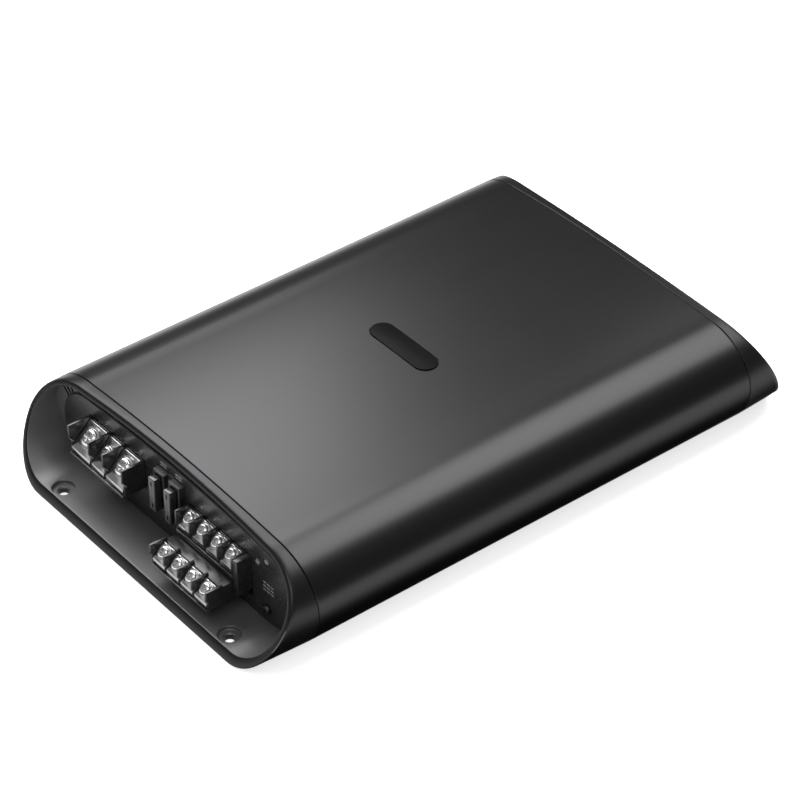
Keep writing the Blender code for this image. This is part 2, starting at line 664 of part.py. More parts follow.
def make_inside(finishes):
    """The circuit board and the large parts that stand on it."""
    half_width = inner_half_width(BOARD_Z) - 0.8 * MM
    end = SEAM_Y - BOARD_END_GAP
    board = block(
        "circuit_board", (-half_width, -end, BOARD_Z), (half_width, end, BOARD_Z + BOARD_THICKNESS), finishes["board"],
    )
    ends = [(-end, 9.0 * MM), (end, 9.0 * MM)]
    for y, depth in ends:
        inner = y - math.copysign(depth, y)
        low, high = sorted_pair(inner, y + math.copysign(MM, y))
        for side in (-1, 1):
            x0, x1 = sorted_pair(side * (half_width - 12 * MM), side * (half_width + MM))
            cut(board, block("corner", (x0, low, BOARD_Z - MM), (x1, high, BOARD_Z + 4 * MM)))
    top = BOARD_Z + BOARD_THICKNESS + GAP
    for index, x in enumerate(CAPACITOR_X, start=1):
        r = CAPACITOR_DIAMETER / 2
        profile = [(0, r * 0.94), (0.8 * MM, r), (3.0 * MM, r), (3.8 * MM, r * 0.95), (4.6 * MM, r),
                   (CAPACITOR_LENGTH - 0.8 * MM, r), (CAPACITOR_LENGTH, r * 0.9)]
        height = top + r
        can = smooth(turned(f"capacitor_{index}", profile, finishes["capacitor"]))
        place(can, (x, CAPACITOR_Y - CAPACITOR_LENGTH / 2, height), (0, 1, 0))
    make_toroid("power_toroid", (0, TOROID_Y, top), TOROID_OUTER, TOROID_HOLE, TOROID_HEIGHT, finishes["copper"], 24)
    for index, x in enumerate(CHOKE_X, start=1):
        make_toroid(f"output_choke_{index}", (x, CHOKE_Y, top), CHOKE_OUTER, CHOKE_HOLE, CHOKE_HEIGHT, finishes["copper"], 16)
    for name, side in (("heat_bar_left", -1), ("heat_bar_right", 1)):
        x = side * SINK_X
        flat = BODY_WIDTH / 2 - SHOULDER_REACH
        edge = SINK_X + SINK_FOOT / 2
        roof = BODY_HEIGHT - SLEEVE_WALL + CROWN * (1 - (edge / flat) ** 2) - GAP
        stem, foot, under = SINK_STEM / 2, SINK_FOOT / 2, roof - SINK_STEM
        outline = [
            (x - stem, top), (x + stem, top), (x + stem, under), (x + foot, under),
            (x + foot, roof), (x - foot, roof), (x - foot, under), (x - stem, under),
        ]
        slab(name, outline, SINK_START, SINK_START + SINK_LENGTH, "Y", finishes["raw_aluminium"])


def make_toroid(name, base, outer, hole, height, material, sides):
    """A wound ring that stands flat on the board."""
    r = outer / 2
    soft = height * 0.22
    ring = turned(name, [(0, r - soft), (soft, r), (height - soft, r), (height, r - soft)], material, sides)
    cut(ring, rod("hole", (0, 0, -MM), (0, 0, height + MM), hole / 2, sides=sides))
    return place(smooth(ring), base, (0, 0, 1))


# ---------------------------------------------------------------- input end

def make_inputs(finishes):
    """RCA jacks, level knobs and slide switches of the input panel."""
    face = FACE_Y
    for index, x in enumerate(JACK_X, start=1):
        profile = [(-6 * MM, 4.6 * MM), (GAP, 4.6 * MM), (GAP, JACK_COLLAR / 2), (GAP + 1.6 * MM, JACK_COLLAR / 2),
                   (GAP + 1.6 * MM, JACK_BARREL / 2), (JACK_PROUD - 0.6 * MM, JACK_BARREL / 2),
                   (JACK_PROUD, JACK_BARREL / 2 - 0.6 * MM)]
        jack = turned(f"rca_jack_{index}", profile, finishes["nickel"], sides=24)
        cut(jack, rod("bore", (0, 0, -3 * MM), (0, 0, JACK_PROUD + MM), JACK_BORE / 2, sides=12))
        place(smooth(jack), (x, face, JACK_Z), (0, 1, 0))
    for index, x in enumerate(KNOB_X, start=1):
        r = KNOB_DIAMETER / 2
        profile = [(-8 * MM, 2.4 * MM), (GAP, 2.4 * MM), (GAP, r), (KNOB_PROUD - 0.6 * MM, r), (KNOB_PROUD, r - 0.6 * MM)]
        knob = turned(f"level_knob_{index}", profile, finishes["black_plastic"], sides=24)
        slot = (-0.5 * MM, -0.3 * MM, KNOB_PROUD - 1.2 * MM), (0.5 * MM, r + MM, KNOB_PROUD + MM)
        cut(knob, block("slot", *slot))
        place(smooth(knob), (x, face, KNOB_Z), (0, 1, 0))
    for index, x in enumerate(SWITCH_X, start=1):
        x0 = x - SWITCH_TRAVEL / 2
        foot = block(
            f"slide_switch_{index}", (x0 - SWITCH_TAB / 2 - 2.6 * MM, face - PANEL_THICKNESS - 2.3 * MM, SWITCH_Z - SWITCH_HEIGHT),
            (x0 + SWITCH_TAB / 2 + 2.6 * MM, face - PANEL_THICKNESS - GAP, SWITCH_Z + SWITCH_HEIGHT), finishes["switch_plastic"],
        )
        join(foot, block(
            "tab", (x0 - SWITCH_TAB / 2, face - PANEL_THICKNESS - MM, SWITCH_Z - SWITCH_HEIGHT / 2),
            (x0 + SWITCH_TAB / 2, face + SWITCH_PROUD, SWITCH_Z + SWITCH_HEIGHT / 2),
        ))


def input_openings():
    """Windows and holes of the input panel, as make_panel takes them."""
    holes = [(x, JACK_Z, 9.8 * MM) for x in JACK_X] + [(x, KNOB_Z, 5.4 * MM) for x in KNOB_X]
    half = SWITCH_TRAVEL / 2 + SWITCH_TAB / 2 + GAP
    tall = SWITCH_HEIGHT / 2 + GAP
    windows = [(x - half, x + half, SWITCH_Z - tall, SWITCH_Z + tall) for x in SWITCH_X]
    return windows, holes


def make_lamp(name, x, z, material):
    """A light pipe pressed into the terminal panel from behind."""
    r = LAMP_DIAMETER / 2
    profile = [(-4.5 * MM, r + 0.6 * MM), (-PANEL_THICKNESS - GAP, r + 0.6 * MM), (-PANEL_THICKNESS - GAP, r),
               (0.3 * MM, r), (0.9 * MM, r * 0.6)]
    return place(smooth(turned(name, profile, material, sides=12), 50), (x, -FACE_Y, z), (0, -1, 0))


def badge_outline(grow=0.0):
    """Outline (x, y) of the round-ended badge."""
    r = BADGE_WIDTH / 2 + grow
    half = BADGE_LENGTH / 2 - BADGE_WIDTH / 2
    points = []
    for end in (1, -1):
        for i in range(11):
            angle = -math.pi / 2 + math.pi * i / 10
            points.append((end * (half + r * math.cos(angle)), end * r * math.sin(angle)))
    return points


# ---------------------------------------------------------------- build

def main():
    for obj in list(bpy.data.objects):
        bpy.data.objects.remove(obj)
    finishes = {
        "sleeve": finish("anodised_grey", (0.075, 0.075, 0.078), 0.38, 0.85),
        "cap": finish("cap_grey", (0.045, 0.045, 0.047), 0.42, 0.4),
        "panel": finish("panel_black", (0.018, 0.018, 0.019), 0.35, 0.0),
        "black_plastic": finish("black_plastic", (0.012, 0.012, 0.013), 0.3, 0.0),
        "switch_plastic": finish("switch_plastic", (0.35, 0.35, 0.36), 0.5, 0.0),
        "fuse_plastic": finish("fuse_plastic", (0.03, 0.03, 0.034), 0.2, 0.0),
        "nickel": finish("nickel", (0.75, 0.74, 0.71), 0.22, 1.0),
        "screw_steel": finish("screw_steel", (0.62, 0.62, 0.61), 0.25, 1.0),
        "badge": finish("badge_gloss", (0.004, 0.004, 0.004), 0.06, 0.0),
        "board": finish("board_green", (0.02, 0.10, 0.04), 0.45, 0.0),
        "capacitor": finish("capacitor_sleeve", (0.02, 0.02, 0.05), 0.35, 0.0),
        "copper": finish("copper_winding", (0.60, 0.24, 0.09), 0.3, 0.9),
        "raw_aluminium": finish("raw_aluminium", (0.70, 0.70, 0.71), 0.4, 1.0),
        "lamp": finish("lamp_clear", (0.75, 0.78, 0.85), 0.1, 0.0),
    }
    make_sleeve(finishes["sleeve"])
    make_cap("front_end_cap", FRONT, finishes["cap"])
    make_cap("rear_end_cap", REAR, finishes["cap"])
    lamp_holes = [(x, z, LAMP_DIAMETER + 2 * GAP) for x, z in zip(LAMP_X, LAMP_Z)]
    make_panel("terminal_panel", FRONT, front_windows(), lamp_holes, finishes["panel"])
    windows, holes = input_openings()
    make_panel("input_panel", REAR, windows, holes, finishes["panel"])
    for end, facing in (("front", FRONT), ("rear", REAR)):
        for hand, side in (("left", -1), ("right", 1)):
            make_panel_screw(f"{end}_panel_screw_{hand}", facing, side, finishes["screw_steel"])
    make_front_terminals(finishes)
    make_fuses(finishes)
    for name, x, z in zip(("power_lamp", "fault_lamp"), LAMP_X, LAMP_Z):
        make_lamp(name, x, z, finishes["lamp"])
    make_inputs(finishes)
    make_inside(finishes)
    top = BODY_HEIGHT + CROWN + BADGE_PROUD
    smooth(slab("top_badge", badge_outline(), top - BADGE_THICKNESS, top, "Z", finishes["badge"]))


main()
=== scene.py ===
"""Looks of a four-channel car amplifier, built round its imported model.

Metres. X runs across the body, Y from the terminal end to the input end, and Z up.
"""

import logging
import math
from dataclasses import dataclass
from enum import Enum
from typing import Any, Sequence

import bmesh
import bpy
from bpy.types import Material, Mesh, NodeSocket, NodeTree, Object
from mathutils import Matrix, Vector


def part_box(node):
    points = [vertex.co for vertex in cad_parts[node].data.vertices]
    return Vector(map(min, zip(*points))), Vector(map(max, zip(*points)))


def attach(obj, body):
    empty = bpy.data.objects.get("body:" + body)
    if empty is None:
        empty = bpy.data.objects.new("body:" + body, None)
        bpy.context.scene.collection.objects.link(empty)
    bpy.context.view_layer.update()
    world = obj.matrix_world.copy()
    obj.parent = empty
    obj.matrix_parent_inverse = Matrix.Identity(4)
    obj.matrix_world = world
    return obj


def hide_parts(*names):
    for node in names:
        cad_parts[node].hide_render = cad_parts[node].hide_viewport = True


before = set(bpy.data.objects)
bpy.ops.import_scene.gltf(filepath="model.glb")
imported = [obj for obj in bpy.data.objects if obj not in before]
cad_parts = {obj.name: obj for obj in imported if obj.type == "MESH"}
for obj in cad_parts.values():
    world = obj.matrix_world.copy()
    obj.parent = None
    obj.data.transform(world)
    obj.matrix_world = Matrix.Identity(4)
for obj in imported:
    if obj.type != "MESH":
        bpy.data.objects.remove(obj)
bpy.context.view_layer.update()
LOG = logging.getLogger("amplifier")

MM = 0.001
GAP = 0.3 * MM
SIDES = (-1, 1)
CHASSIS = "chassis"
SHARP_EDGE = math.radians(38.0)
ROUNDED_EDGE = math.radians(35.0)
Point = tuple[float, float, float]
Flat = tuple[float, float]


class End(Enum):
    """An end of the body, by the way that it faces along Y."""

    TERMINALS = -1
    INPUTS = 1

    def out(self, y: float) -> float:
        """The Y of a place this far out from the middle."""
        return self.value * y

    def span(self, near: float, far: float) -> Flat:
        """The Y of two places this far out from the middle."""
        return self.out(near), self.out(far)


# ---------------------------------------------------------------- shader building


class Value:
    """A shader socket. Arithmetic on it adds Math nodes."""

    def __init__(self, graph: "Graph", socket: NodeSocket) -> None:
        """Wraps a socket of a graph."""
        self.graph = graph
        self.socket = socket

    def maths(self, operation: str, *others: Any) -> "Value":
        """This value and the others through one Math node."""
        return self.graph.node("Math", dict(enumerate((self, *others))), operation=operation)

    def __add__(self, other: Any) -> "Value":
        """Sum."""
        return self.maths("ADD", other)

    def __sub__(self, other: Any) -> "Value":
        """Difference."""
        return self.maths("SUBTRACT", other)

    def __rsub__(self, other: Any) -> "Value":
        """Difference, with the number first."""
        return self.graph.node("Math", {0: other, 1: self}, operation="SUBTRACT")

    def __mul__(self, other: Any) -> "Value":
        """Product."""
        return self.maths("MULTIPLY", other)

    __radd__ = __add__
    __rmul__ = __mul__

    def ramp(self, low: float, high: float) -> "Value":
        """0 below low, 1 above high, and smooth between."""
        inputs = {"Value": self, "From Min": low, "From Max": high}
        return self.graph.node("MapRange", inputs, interpolation_type="SMOOTHSTEP")


class Graph:
    """A node tree of a material or of the world, while it is built."""

    def __init__(self, tree: NodeTree, output: str) -> None:
        """Empties the tree and gives it its output node.

        Args:
            tree: the tree to build in.
            output: the output node's type, without its prefix.
        """
        self.tree = tree
        tree.nodes.clear()
        self.end = tree.nodes.new(f"ShaderNode{output}")

    def node(self, kind: str, inputs: dict | None = None, output: int | str = 0, **settings: Any) -> Value:
        """Adds a node.

        Args:
            kind: the node's type, without its prefix.
            inputs: values or links of its sockets, by name or number.
            output: which of its outputs to return.
            settings: its properties, set first. "stops" is a colour ramp's list of (place, colour).

        Returns:
            The chosen output.
        """
        made = self.tree.nodes.new(f"ShaderNode{kind}")
        for index, (place, colour) in enumerate(settings.pop("stops", ())):
            elements = made.color_ramp.elements
            stop = elements[index] if index < 2 else elements.new(place)
            stop.position, stop.color = place, (*colour, 1.0)
        for key, setting in settings.items():
            setattr(made, key, setting)
        for key, value in (inputs or {}).items():
            if isinstance(value, Value):
                self.tree.links.new(value.socket, made.inputs[key])
            else:
                made.inputs[key].default_value = value
        return Value(self, made.outputs[output])

    def place(self, **mapping: Sequence[float]) -> Value:
        """Object coordinates.

        Args:
            mapping: a Mapping node's location, rotation or scale, where they are moved, turned or stretched.

        Returns:
            The coordinates.
        """
        coordinates = self.node("TexCoord", output="Object")
        named = {key.capitalize(): value for key, value in mapping.items()}
        return self.node("Mapping", {"Vector": coordinates, **named}) if named else coordinates

    def axis(self, number: int, vector: Value | None = None) -> Value:
        """One coordinate of a vector, or of the place on the object."""
        return self.node("SeparateXYZ", {0: vector or self.place()}, number)

    def noise(self, density: float, detail: float = 3.0, **mapping: Sequence[float]) -> Value:
        """Noise from 0 to 1 on Object coordinates. The density is in cycles a metre."""
        inputs = {"Vector": self.place(**mapping), "Scale": density, "Detail": detail, "Roughness": 0.55}
        return self.node("TexNoise", inputs)

    def mix(self, factor: Any, first: Any, second: Any) -> Value:
        """Two colours blended by a factor."""
        return self.node("Mix", {0: factor, 6: self.tint(first), 7: self.tint(second)}, 2, data_type="RGBA")

    def tint(self, colour: Any) -> Any:
        """A colour as a socket takes it."""
        return colour if isinstance(colour, Value) or len(colour) == 4 else (*colour, 1.0)

    def bump(self, height: Value, depth: float) -> Value:
        """A normal from a height of 0 to 1 that is this deep in metres."""
        return self.node("Bump", {"Height": height, "Distance": depth, "Strength": 1.0})

    def surface(self, **inputs: Any) -> None:
        """Ends the tree in a Principled shader.

        Args:
            inputs: its sockets, with underscores for the spaces in their names.
        """
        named = {key.replace("_", " ").title().replace("Ior", "IOR"): value for key, value in inputs.items()}
        for key in ("Base Color", "Emission Color"):
            if key in named:
                named[key] = self.tint(named[key])
        shader = self.node("BsdfPrincipled", named)
        self.tree.links.new(shader.socket, self.end.inputs["Surface"])


@dataclass(frozen=True)
class Finish:
    """What every finish has: a name, a colour and a roughness."""

    label: str
    colour: Point
    roughness: float

    def material(self) -> Material:
        """The finish's material, made once.

        Returns:
            The material.
        """
        known = bpy.data.materials.get(self.label)
        if known is None:
            known = bpy.data.materials.new(self.label)
            known.use_nodes = True
            self.paint(Graph(known.node_tree, "OutputMaterial"))
        return known

    def shade(self, factor: float) -> Point:
        """The colour made lighter or darker."""
        return tuple(min(1.0, channel * factor) for channel in self.colour)

    def paint(self, graph: Graph) -> None:
        """Builds the nodes."""
        raise NotImplementedError


@dataclass(frozen=True)
class Anodised(Finish):
    """Bead-blasted, anodised extrusion with faint draw lines along Y."""

    metallic: float = 1.0

    def paint(self, graph: Graph) -> None:
        """Grain, draw lines and slow variation in colour.

        Args:
            graph: the material's tree.
        """
        grain = graph.noise(1400.0, 2.0)
        lines = graph.noise(1.0, 3.0, scale=(900.0, 5.0, 900.0))
        wear = graph.noise(55.0, 4.0).ramp(0.62, 0.9)
        tone = grain * 0.35 + lines * 0.3 + graph.noise(14.0, 2.0) * 0.35
        graph.surface(
            base_color=graph.mix(tone, self.shade(0.86), self.shade(1.14)), metallic=self.metallic,
            roughness=tone * 0.07 + (self.roughness - 0.035) + wear * 0.02,
            normal=graph.bump(grain * 0.6 + lines * 0.4, 0.012 * MM),
        )


@dataclass(frozen=True)
class Casting(Finish):
    """Satin paint on a casting, with a fine orange peel."""

    metallic: float

    def paint(self, graph: Graph) -> None:
        """Peel, metal flake and a little uneven sheen.

        Args:
            graph: the material's tree.
        """
        cells = {"Vector": graph.place(), "Scale": 2600.0, "Randomness": 1.0}
        flake = graph.node("TexVoronoi", cells, "Distance")
        cloud = graph.noise(22.0, 2.0)
        graph.surface(
            base_color=graph.mix(flake * 0.5 + cloud * 0.5, self.shade(0.88), self.shade(1.14)),
            metallic=self.metallic, roughness=cloud * 0.06 + (self.roughness - 0.03),
            normal=graph.bump(graph.noise(950.0, 2.0), 0.014 * MM),
        )


@dataclass(frozen=True)
class Moulding(Finish):
    """Moulded plastic with a spark-eroded texture."""

    texture: float = 1500.0
    depth: float = 0.012 * MM
    coat: float = 0.0
    gloss: float = 0.5

    def paint(self, graph: Graph) -> None:
        """Fine texture, with slight flow marks in the colour.

        Args:
            graph: the material's tree.
        """
        skin = graph.noise(self.texture, 3.0)
        flow = graph.noise(60.0, 2.0, scale=(1.0, 1.0, 2.5))
        graph.surface(
            base_color=graph.mix(flow * 0.7 + skin * 0.3, self.shade(0.8), self.shade(1.25)),
            roughness=flow * 0.08 + (self.roughness - 0.04), specular_ior_level=self.gloss,
            coat_weight=self.coat, coat_roughness=0.12,
            **({"normal": graph.bump(skin, self.depth)} if self.depth else {}),
        )


@dataclass(frozen=True)
class Plated(Finish):
    """Bright plating with hair scratches and a slight bloom."""

    bloom: float = 0.25

    def paint(self, graph: Graph) -> None:
        """Scratches across, bloom in patches.

        Args:
            graph: the material's tree.
        """
        scratch = graph.noise(1.0, 4.0, scale=(300.0, 5000.0, 5000.0))
        patch = graph.noise(420.0, 3.0)
        graph.surface(
            base_color=graph.mix(patch.ramp(0.35, 0.75) * self.bloom, self.colour, self.shade(0.62)),
            metallic=1.0, roughness=scratch * 0.1 + patch * 0.08 + (self.roughness - 0.07),
            normal=graph.bump(scratch * 0.5 + patch * 0.5, 0.008 * MM),
        )


@dataclass(frozen=True)
class Laminate(Finish):
    """Solder-masked circuit board with tracks and pads under the mask."""

    pitch: float = 2.54 * MM

    def paint(self, graph: Graph) -> None:
        """Tracks as bricks, pads as dots, copper lighter through the mask.

        Args:
            graph: the material's tree.
        """
        rows = {"Brick Width": 5.0 * self.pitch, "Row Height": self.pitch, "Mortar Size": 0.35 * MM}
        shades = {"Color1": (0, 0, 0, 1), "Color2": (0.25, 0.25, 0.25, 1), "Mortar": (1, 1, 1, 1)}
        inputs = {"Vector": graph.place(), "Scale": 1.0, **rows, **shades}
        tracks = graph.node("TexBrick", inputs, "Fac", offset=0.37)
        cells = {"Vector": graph.place(), "Scale": 0.5 / self.pitch, "Randomness": 0.0}
        pads = 1.0 - graph.node("TexVoronoi", cells, "Distance").ramp(0.16, 0.2)
        masked = graph.mix(tracks * 0.6, self.colour, self.shade(2.1))
        graph.surface(
            base_color=graph.mix(pads, masked, (0.72, 0.70, 0.66)), roughness=self.roughness - pads * 0.1,
            metallic=pads * 0.9, normal=graph.bump(tracks + pads, 0.03 * MM),
        )


@dataclass(frozen=True)
class Wound(Finish):
    """Enamelled wire wound round a ring that stands about this centre."""

    centre: Flat
    turns: float

    def paint(self, graph: Graph) -> None:
        """Wires as ridges round the ring, each a little different, with painted shade in the grooves and a
        painted highlight on the crests.

        Args:
            graph: the material's tree.
        """
        turned = graph.place(location=(-self.centre[0], -self.centre[1], 0.0))
        angle = graph.node("TexGradient", {"Vector": turned}, "Fac", gradient_type="RADIAL")
        ridge = (angle * (self.turns * math.tau)).maths("SINE") * 0.5 + 0.5
        uneven = graph.noise(700.0, 2.0)
        graph.surface(
            # The colour follows the ridges: painted shade in the grooves between turns and a painted
            # highlight on the crests.
            base_color=graph.mix(ridge * 0.7 + uneven * 0.3, self.shade(0.45), self.shade(1.2)),
            metallic=0.85, roughness=uneven * 0.1 + self.roughness, normal=graph.bump(ridge, 0.4 * MM),
        )


@dataclass(frozen=True)
class Sleeved(Finish):
    """Shrink sleeve with a polarity stripe on a can, whose crimped end shows bare metal."""

    bare_from: float
    stripe_z: float

    def paint(self, graph: Graph) -> None:
        """Sleeve, stripe and bare end, by place along Y and Z.

        Args:
            graph: the material's tree.
        """
        bare = graph.axis(1).ramp(self.bare_from, self.bare_from + 0.2 * MM)
        stripe = graph.axis(2).ramp(self.stripe_z, self.stripe_z + 0.1 * MM) * (1.0 - bare)
        wrap = graph.mix(stripe, self.colour, (0.55, 0.56, 0.6))
        film = graph.noise(260.0, 3.0)
        graph.surface(
            base_color=graph.mix(bare, wrap, (0.72, 0.72, 0.73)), metallic=bare,
            roughness=film * 0.12 + self.roughness, normal=graph.bump(film, 0.03 * MM),
        )


@dataclass(frozen=True)
class LightPipe(Finish):
    """Clear moulding that carries a lamp's light to the panel, unlit."""

    def paint(self, graph: Graph) -> None:
        """Slightly frosted clear plastic.

        Args:
            graph: the material's tree.
        """
        frost = graph.noise(1800.0, 2.0)
        graph.surface(
            base_color=graph.mix(frost, self.shade(0.85), self.colour), ior=1.49, coat_weight=0.6,
            roughness=frost * 0.12 + self.roughness, normal=graph.bump(frost, 0.01 * MM),
        )


@dataclass(frozen=True)
class Paper(Finish):
    """Matt white floor, lit a little from below so that its shadows stay soft."""

    glow: float = 0.72

    def paint(self, graph: Graph) -> None:
        """A faint unevenness only.

        Args:
            graph: the material's tree.
        """
        colour = graph.mix(graph.noise(3.0, 2.0), self.shade(0.985), self.colour)
        graph.surface(
            base_color=colour, roughness=self.roughness, specular_ior_level=0.1, emission_color=self.colour,
            emission_strength=self.glow,
        )


ANODISED = Anodised("anodised_sleeve", (0.042, 0.042, 0.043), 0.30)
BAR_METAL = Anodised("heat_bar_metal", (0.62, 0.62, 0.63), 0.4)
CAP_PAINT = Casting("end_cap_paint", (0.033, 0.033, 0.034), 0.34, 0.95)
# Painted light: a lighter copy of the cap paint for inside the tray, standing in for the light that falls
# into it.
LIT_TRAY_PAINT = Casting("lit_tray_paint", (0.105, 0.105, 0.107), 0.42, 0.3)
PANEL_BLACK = Moulding("panel_moulding", (0.014, 0.014, 0.015), 0.28, depth=0.0)
TERMINAL_BLACK = Moulding("terminal_moulding", (0.012, 0.012, 0.013), 0.24, 2200.0, depth=0.0, gloss=0.6)
HOLDER_BLACK = Moulding("holder_moulding", (0.012, 0.012, 0.013), 0.34)
FUSE_SMOKE = Moulding("fuse_moulding", (0.016, 0.016, 0.018), 0.22, depth=0.002 * MM, coat=0.3)
KNOB_BLACK = Moulding("knob_moulding", (0.05, 0.05, 0.052), 0.42)
NYLON = Moulding("switch_nylon", (0.42, 0.42, 0.44), 0.45)
BADGE_BLACK = Moulding("badge_inlay", (0.002, 0.002, 0.002), 0.45, depth=0.002 * MM, gloss=0.06)
PRINT = Moulding("panel_print", (0.35, 0.35, 0.36), 0.5, depth=0.002 * MM)
INSULATOR_WHITE = Moulding("insulator_white", (0.7, 0.7, 0.68), 0.4)
INSULATOR_RED = Moulding("insulator_red", (0.45, 0.02, 0.015), 0.4)
NICKEL = Plated("nickel_plate", (0.66, 0.655, 0.64), 0.16)
ZINC = Plated("zinc_screw", (0.80, 0.80, 0.80), 0.22)
BLACK_OXIDE = Plated("blackened_screw", (0.06, 0.06, 0.062), 0.38, bloom=0.1)
BLADE_METAL = Plated("blade_zinc", (0.62, 0.62, 0.60), 0.3)
BOARD_GREEN = Laminate("board_laminate", (0.012, 0.09, 0.035), 0.32)
FLOOR_WHITE = Paper("floor_paper", (0.93, 0.93, 0.93), 0.9)


# ---------------------------------------------------------------- mesh building


def mm(*points: Sequence[float]) -> list[tuple[float, ...]]:
    """Points in metres from points in millimetres."""
    return [tuple(number * MM for number in point) for point in points]


def about(middle: float, half: float) -> Flat:
    """The span that reaches this far each way from a middle."""
    return middle - half, middle + half


def new_object(name: str, mesh: Mesh) -> Object:
    """Puts a mesh in the scene.

    Args:
        name: the object's name.
        mesh: its mesh.

    Returns:
        The object, at the origin.
    """
    made = bpy.data.objects.new(name, mesh)
    bpy.context.scene.collection.objects.link(made)
    return made


def close_mesh(name: str, bm: bmesh.types.BMesh) -> Object:
    """Ends the editing of a mesh.

    Args:
        name: the new object's name.
        bm: the edited mesh, which is freed.

    Returns:
        An object that holds it.
    """
    mesh = bpy.data.meshes.new(name)
    bm.to_mesh(mesh)
    bm.free()
    return new_object(name, mesh)


def loft(name: str, rings: Sequence[Sequence[Point]], closed: bool = False) -> Object:
    """A surface through rings of equally many points.

    Args:
        name: the object's name.
        rings: the rings in order. A ring of one point is a pole.
        closed: joins the last ring to the first. Otherwise both ends are capped.

    Returns:
        The object, with its normals facing out.
    """
    bm = bmesh.new()
    rows = [[bm.verts.new(point) for point in ring] for ring in rings]
    pairs = list(zip(rows, rows[1:])) + ([(rows[-1], rows[0])] if closed else [])
    for lower, upper in pairs:
        below, above = len(lower), len(upper)
        count = max(below, above)
        for i in range(count):
            k = (i + 1) % count
            corners = lower[i % below], lower[k % below], upper[k % above], upper[i % above]
            bm.faces.new(list(dict.fromkeys(corners)))
    for row in () if closed else (rows[0], rows[-1]):
        if len(row) > 2:
            bm.faces.new(row)
    bmesh.ops.recalc_face_normals(bm, faces=bm.faces)
    return close_mesh(name, bm)


def prism(name: str, outline: Sequence[Flat], span: Flat, axis: str) -> Object:
    """An outline of the other two coordinates, in order, extruded over a span of one axis."""
    at = "XYZ".index(axis)
    return loft(name, [[(*point[:at], along, *point[at:]) for point in outline] for along in sorted(span)])


def brick(name: str, across: Flat, along: Flat, up: Flat) -> Object:
    """A box from its spans in X, Y and Z."""
    (x0, x1), (y0, y1) = sorted(across), sorted(along)
    return prism(name, ((x0, y0), (x1, y0), (x1, y1), (x0, y1)), up, "Z")


def circle(radius: float, sides: int, centre: Flat = (0.0, 0.0)) -> list[Flat]:
    """Points round a circle."""
    angles = [math.tau * (i + 0.5) / sides for i in range(sides)]
    return [(centre[0] + radius * math.cos(a), centre[1] + radius * math.sin(a)) for a in angles]


def lathe(name: str, profile: Sequence[Flat], sides: int, closed: bool = False) -> Object:
    """A solid or a closed tube turned about Z. The profile lists (height, radius); radius 0 is a pole."""
    rings = [[(x, y, z) for x, y in circle(r, sides)] if r > 0 else [(0.0, 0.0, z)] for z, r in profile]
    return loft(name, rings, closed)


def settle(piece: Object) -> Object:
    """Turns a piece's modifiers into plain mesh.

    Args:
        piece: the piece.

    Returns:
        The same piece.
    """
    graph = bpy.context.evaluated_depsgraph_get()
    mesh = bpy.data.meshes.new_from_object(piece.evaluated_get(graph), depsgraph=graph)
    piece.modifiers.clear()
    piece.data = mesh
    return piece


def carve(piece: Object, *tools: Object) -> None:
    """Cuts tools from a piece.

    Args:
        piece: the piece.
        tools: the shapes to cut away, which are removed.
    """
    for tool in tools:
        boolean = piece.modifiers.new("carve", "BOOLEAN")
        boolean.operation, boolean.object, boolean.solver = "DIFFERENCE", tool, "EXACT"
        settle(piece)
        bpy.data.objects.remove(tool)


def gather(name: str, *parts: Object) -> Object:
    """Makes one object of separate bodies.

    Args:
        name: its name.
        parts: the bodies, which are removed.

    Returns:
        The object.
    """
    bm = bmesh.new()
    for part in parts:
        bm.from_mesh(part.data)
        bpy.data.objects.remove(part)
    return close_mesh(name, bm)


def encloses(outline: Sequence[Flat], x: float, z: float) -> bool:
    """Whether a point lies inside an outline.

    Args:
        outline: the outline's (x, z) points.
        x: the point's X.
        z: the point's Z.

    Returns:
        True inside.
    """
    inside = False
    for (x0, z0), (x1, z1) in zip(outline, [*outline[1:], outline[0]]):
        if (z0 > z) != (z1 > z) and x < x0 + (z - z0) * (x1 - x0) / (z1 - z0):
            inside = not inside
    return inside


def soften(piece: Object, width: float, segments: int = 2) -> Object:
    """Rounds a piece's sharper edges.

    Args:
        piece: the piece.
        width: how wide the rounding is.
        segments: how many faces it has.

    Returns:
        The same piece.
    """
    bevel = piece.modifiers.new("soften", "BEVEL")
    bevel.width, bevel.segments, bevel.limit_method = width, segments, "ANGLE"
    bevel.angle_limit, bevel.use_clamp_overlap = ROUNDED_EDGE, True
    return settle(piece)


def move(piece: Object, where: Matrix) -> Object:
    """Places a piece by moving its mesh, so that its object stays at the origin."""
    piece.data.transform(where)
    return piece


def facing(x: float, y: float, z: float, direction: Point) -> Matrix:
    """A place whose Z points along a direction."""
    return Matrix.Translation((x, y, z)) @ Vector(direction).to_track_quat("Z", "Y").to_matrix().to_4x4()


def publish(piece: Object, finish: Finish, slot: str, *replaced: str, body: str = CHASSIS) -> None:
    """Gives a finished piece its material, shading and body.

    Args:
        piece: the piece.
        finish: what it is made of.
        slot: not used.
        replaced: the CAD nodes it stands for.
        body: the body it moves with.
    """
    mesh = piece.data
    mesh.materials.clear()
    mesh.materials.append(finish.material())
    mesh.shade_smooth()
    mesh.set_sharp_from_angle(angle=SHARP_EDGE)
    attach(piece, body)
    if replaced:
        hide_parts(*replaced)
    LOG.info("%s: %d faces on %s", piece.name, len(mesh.polygons), body)


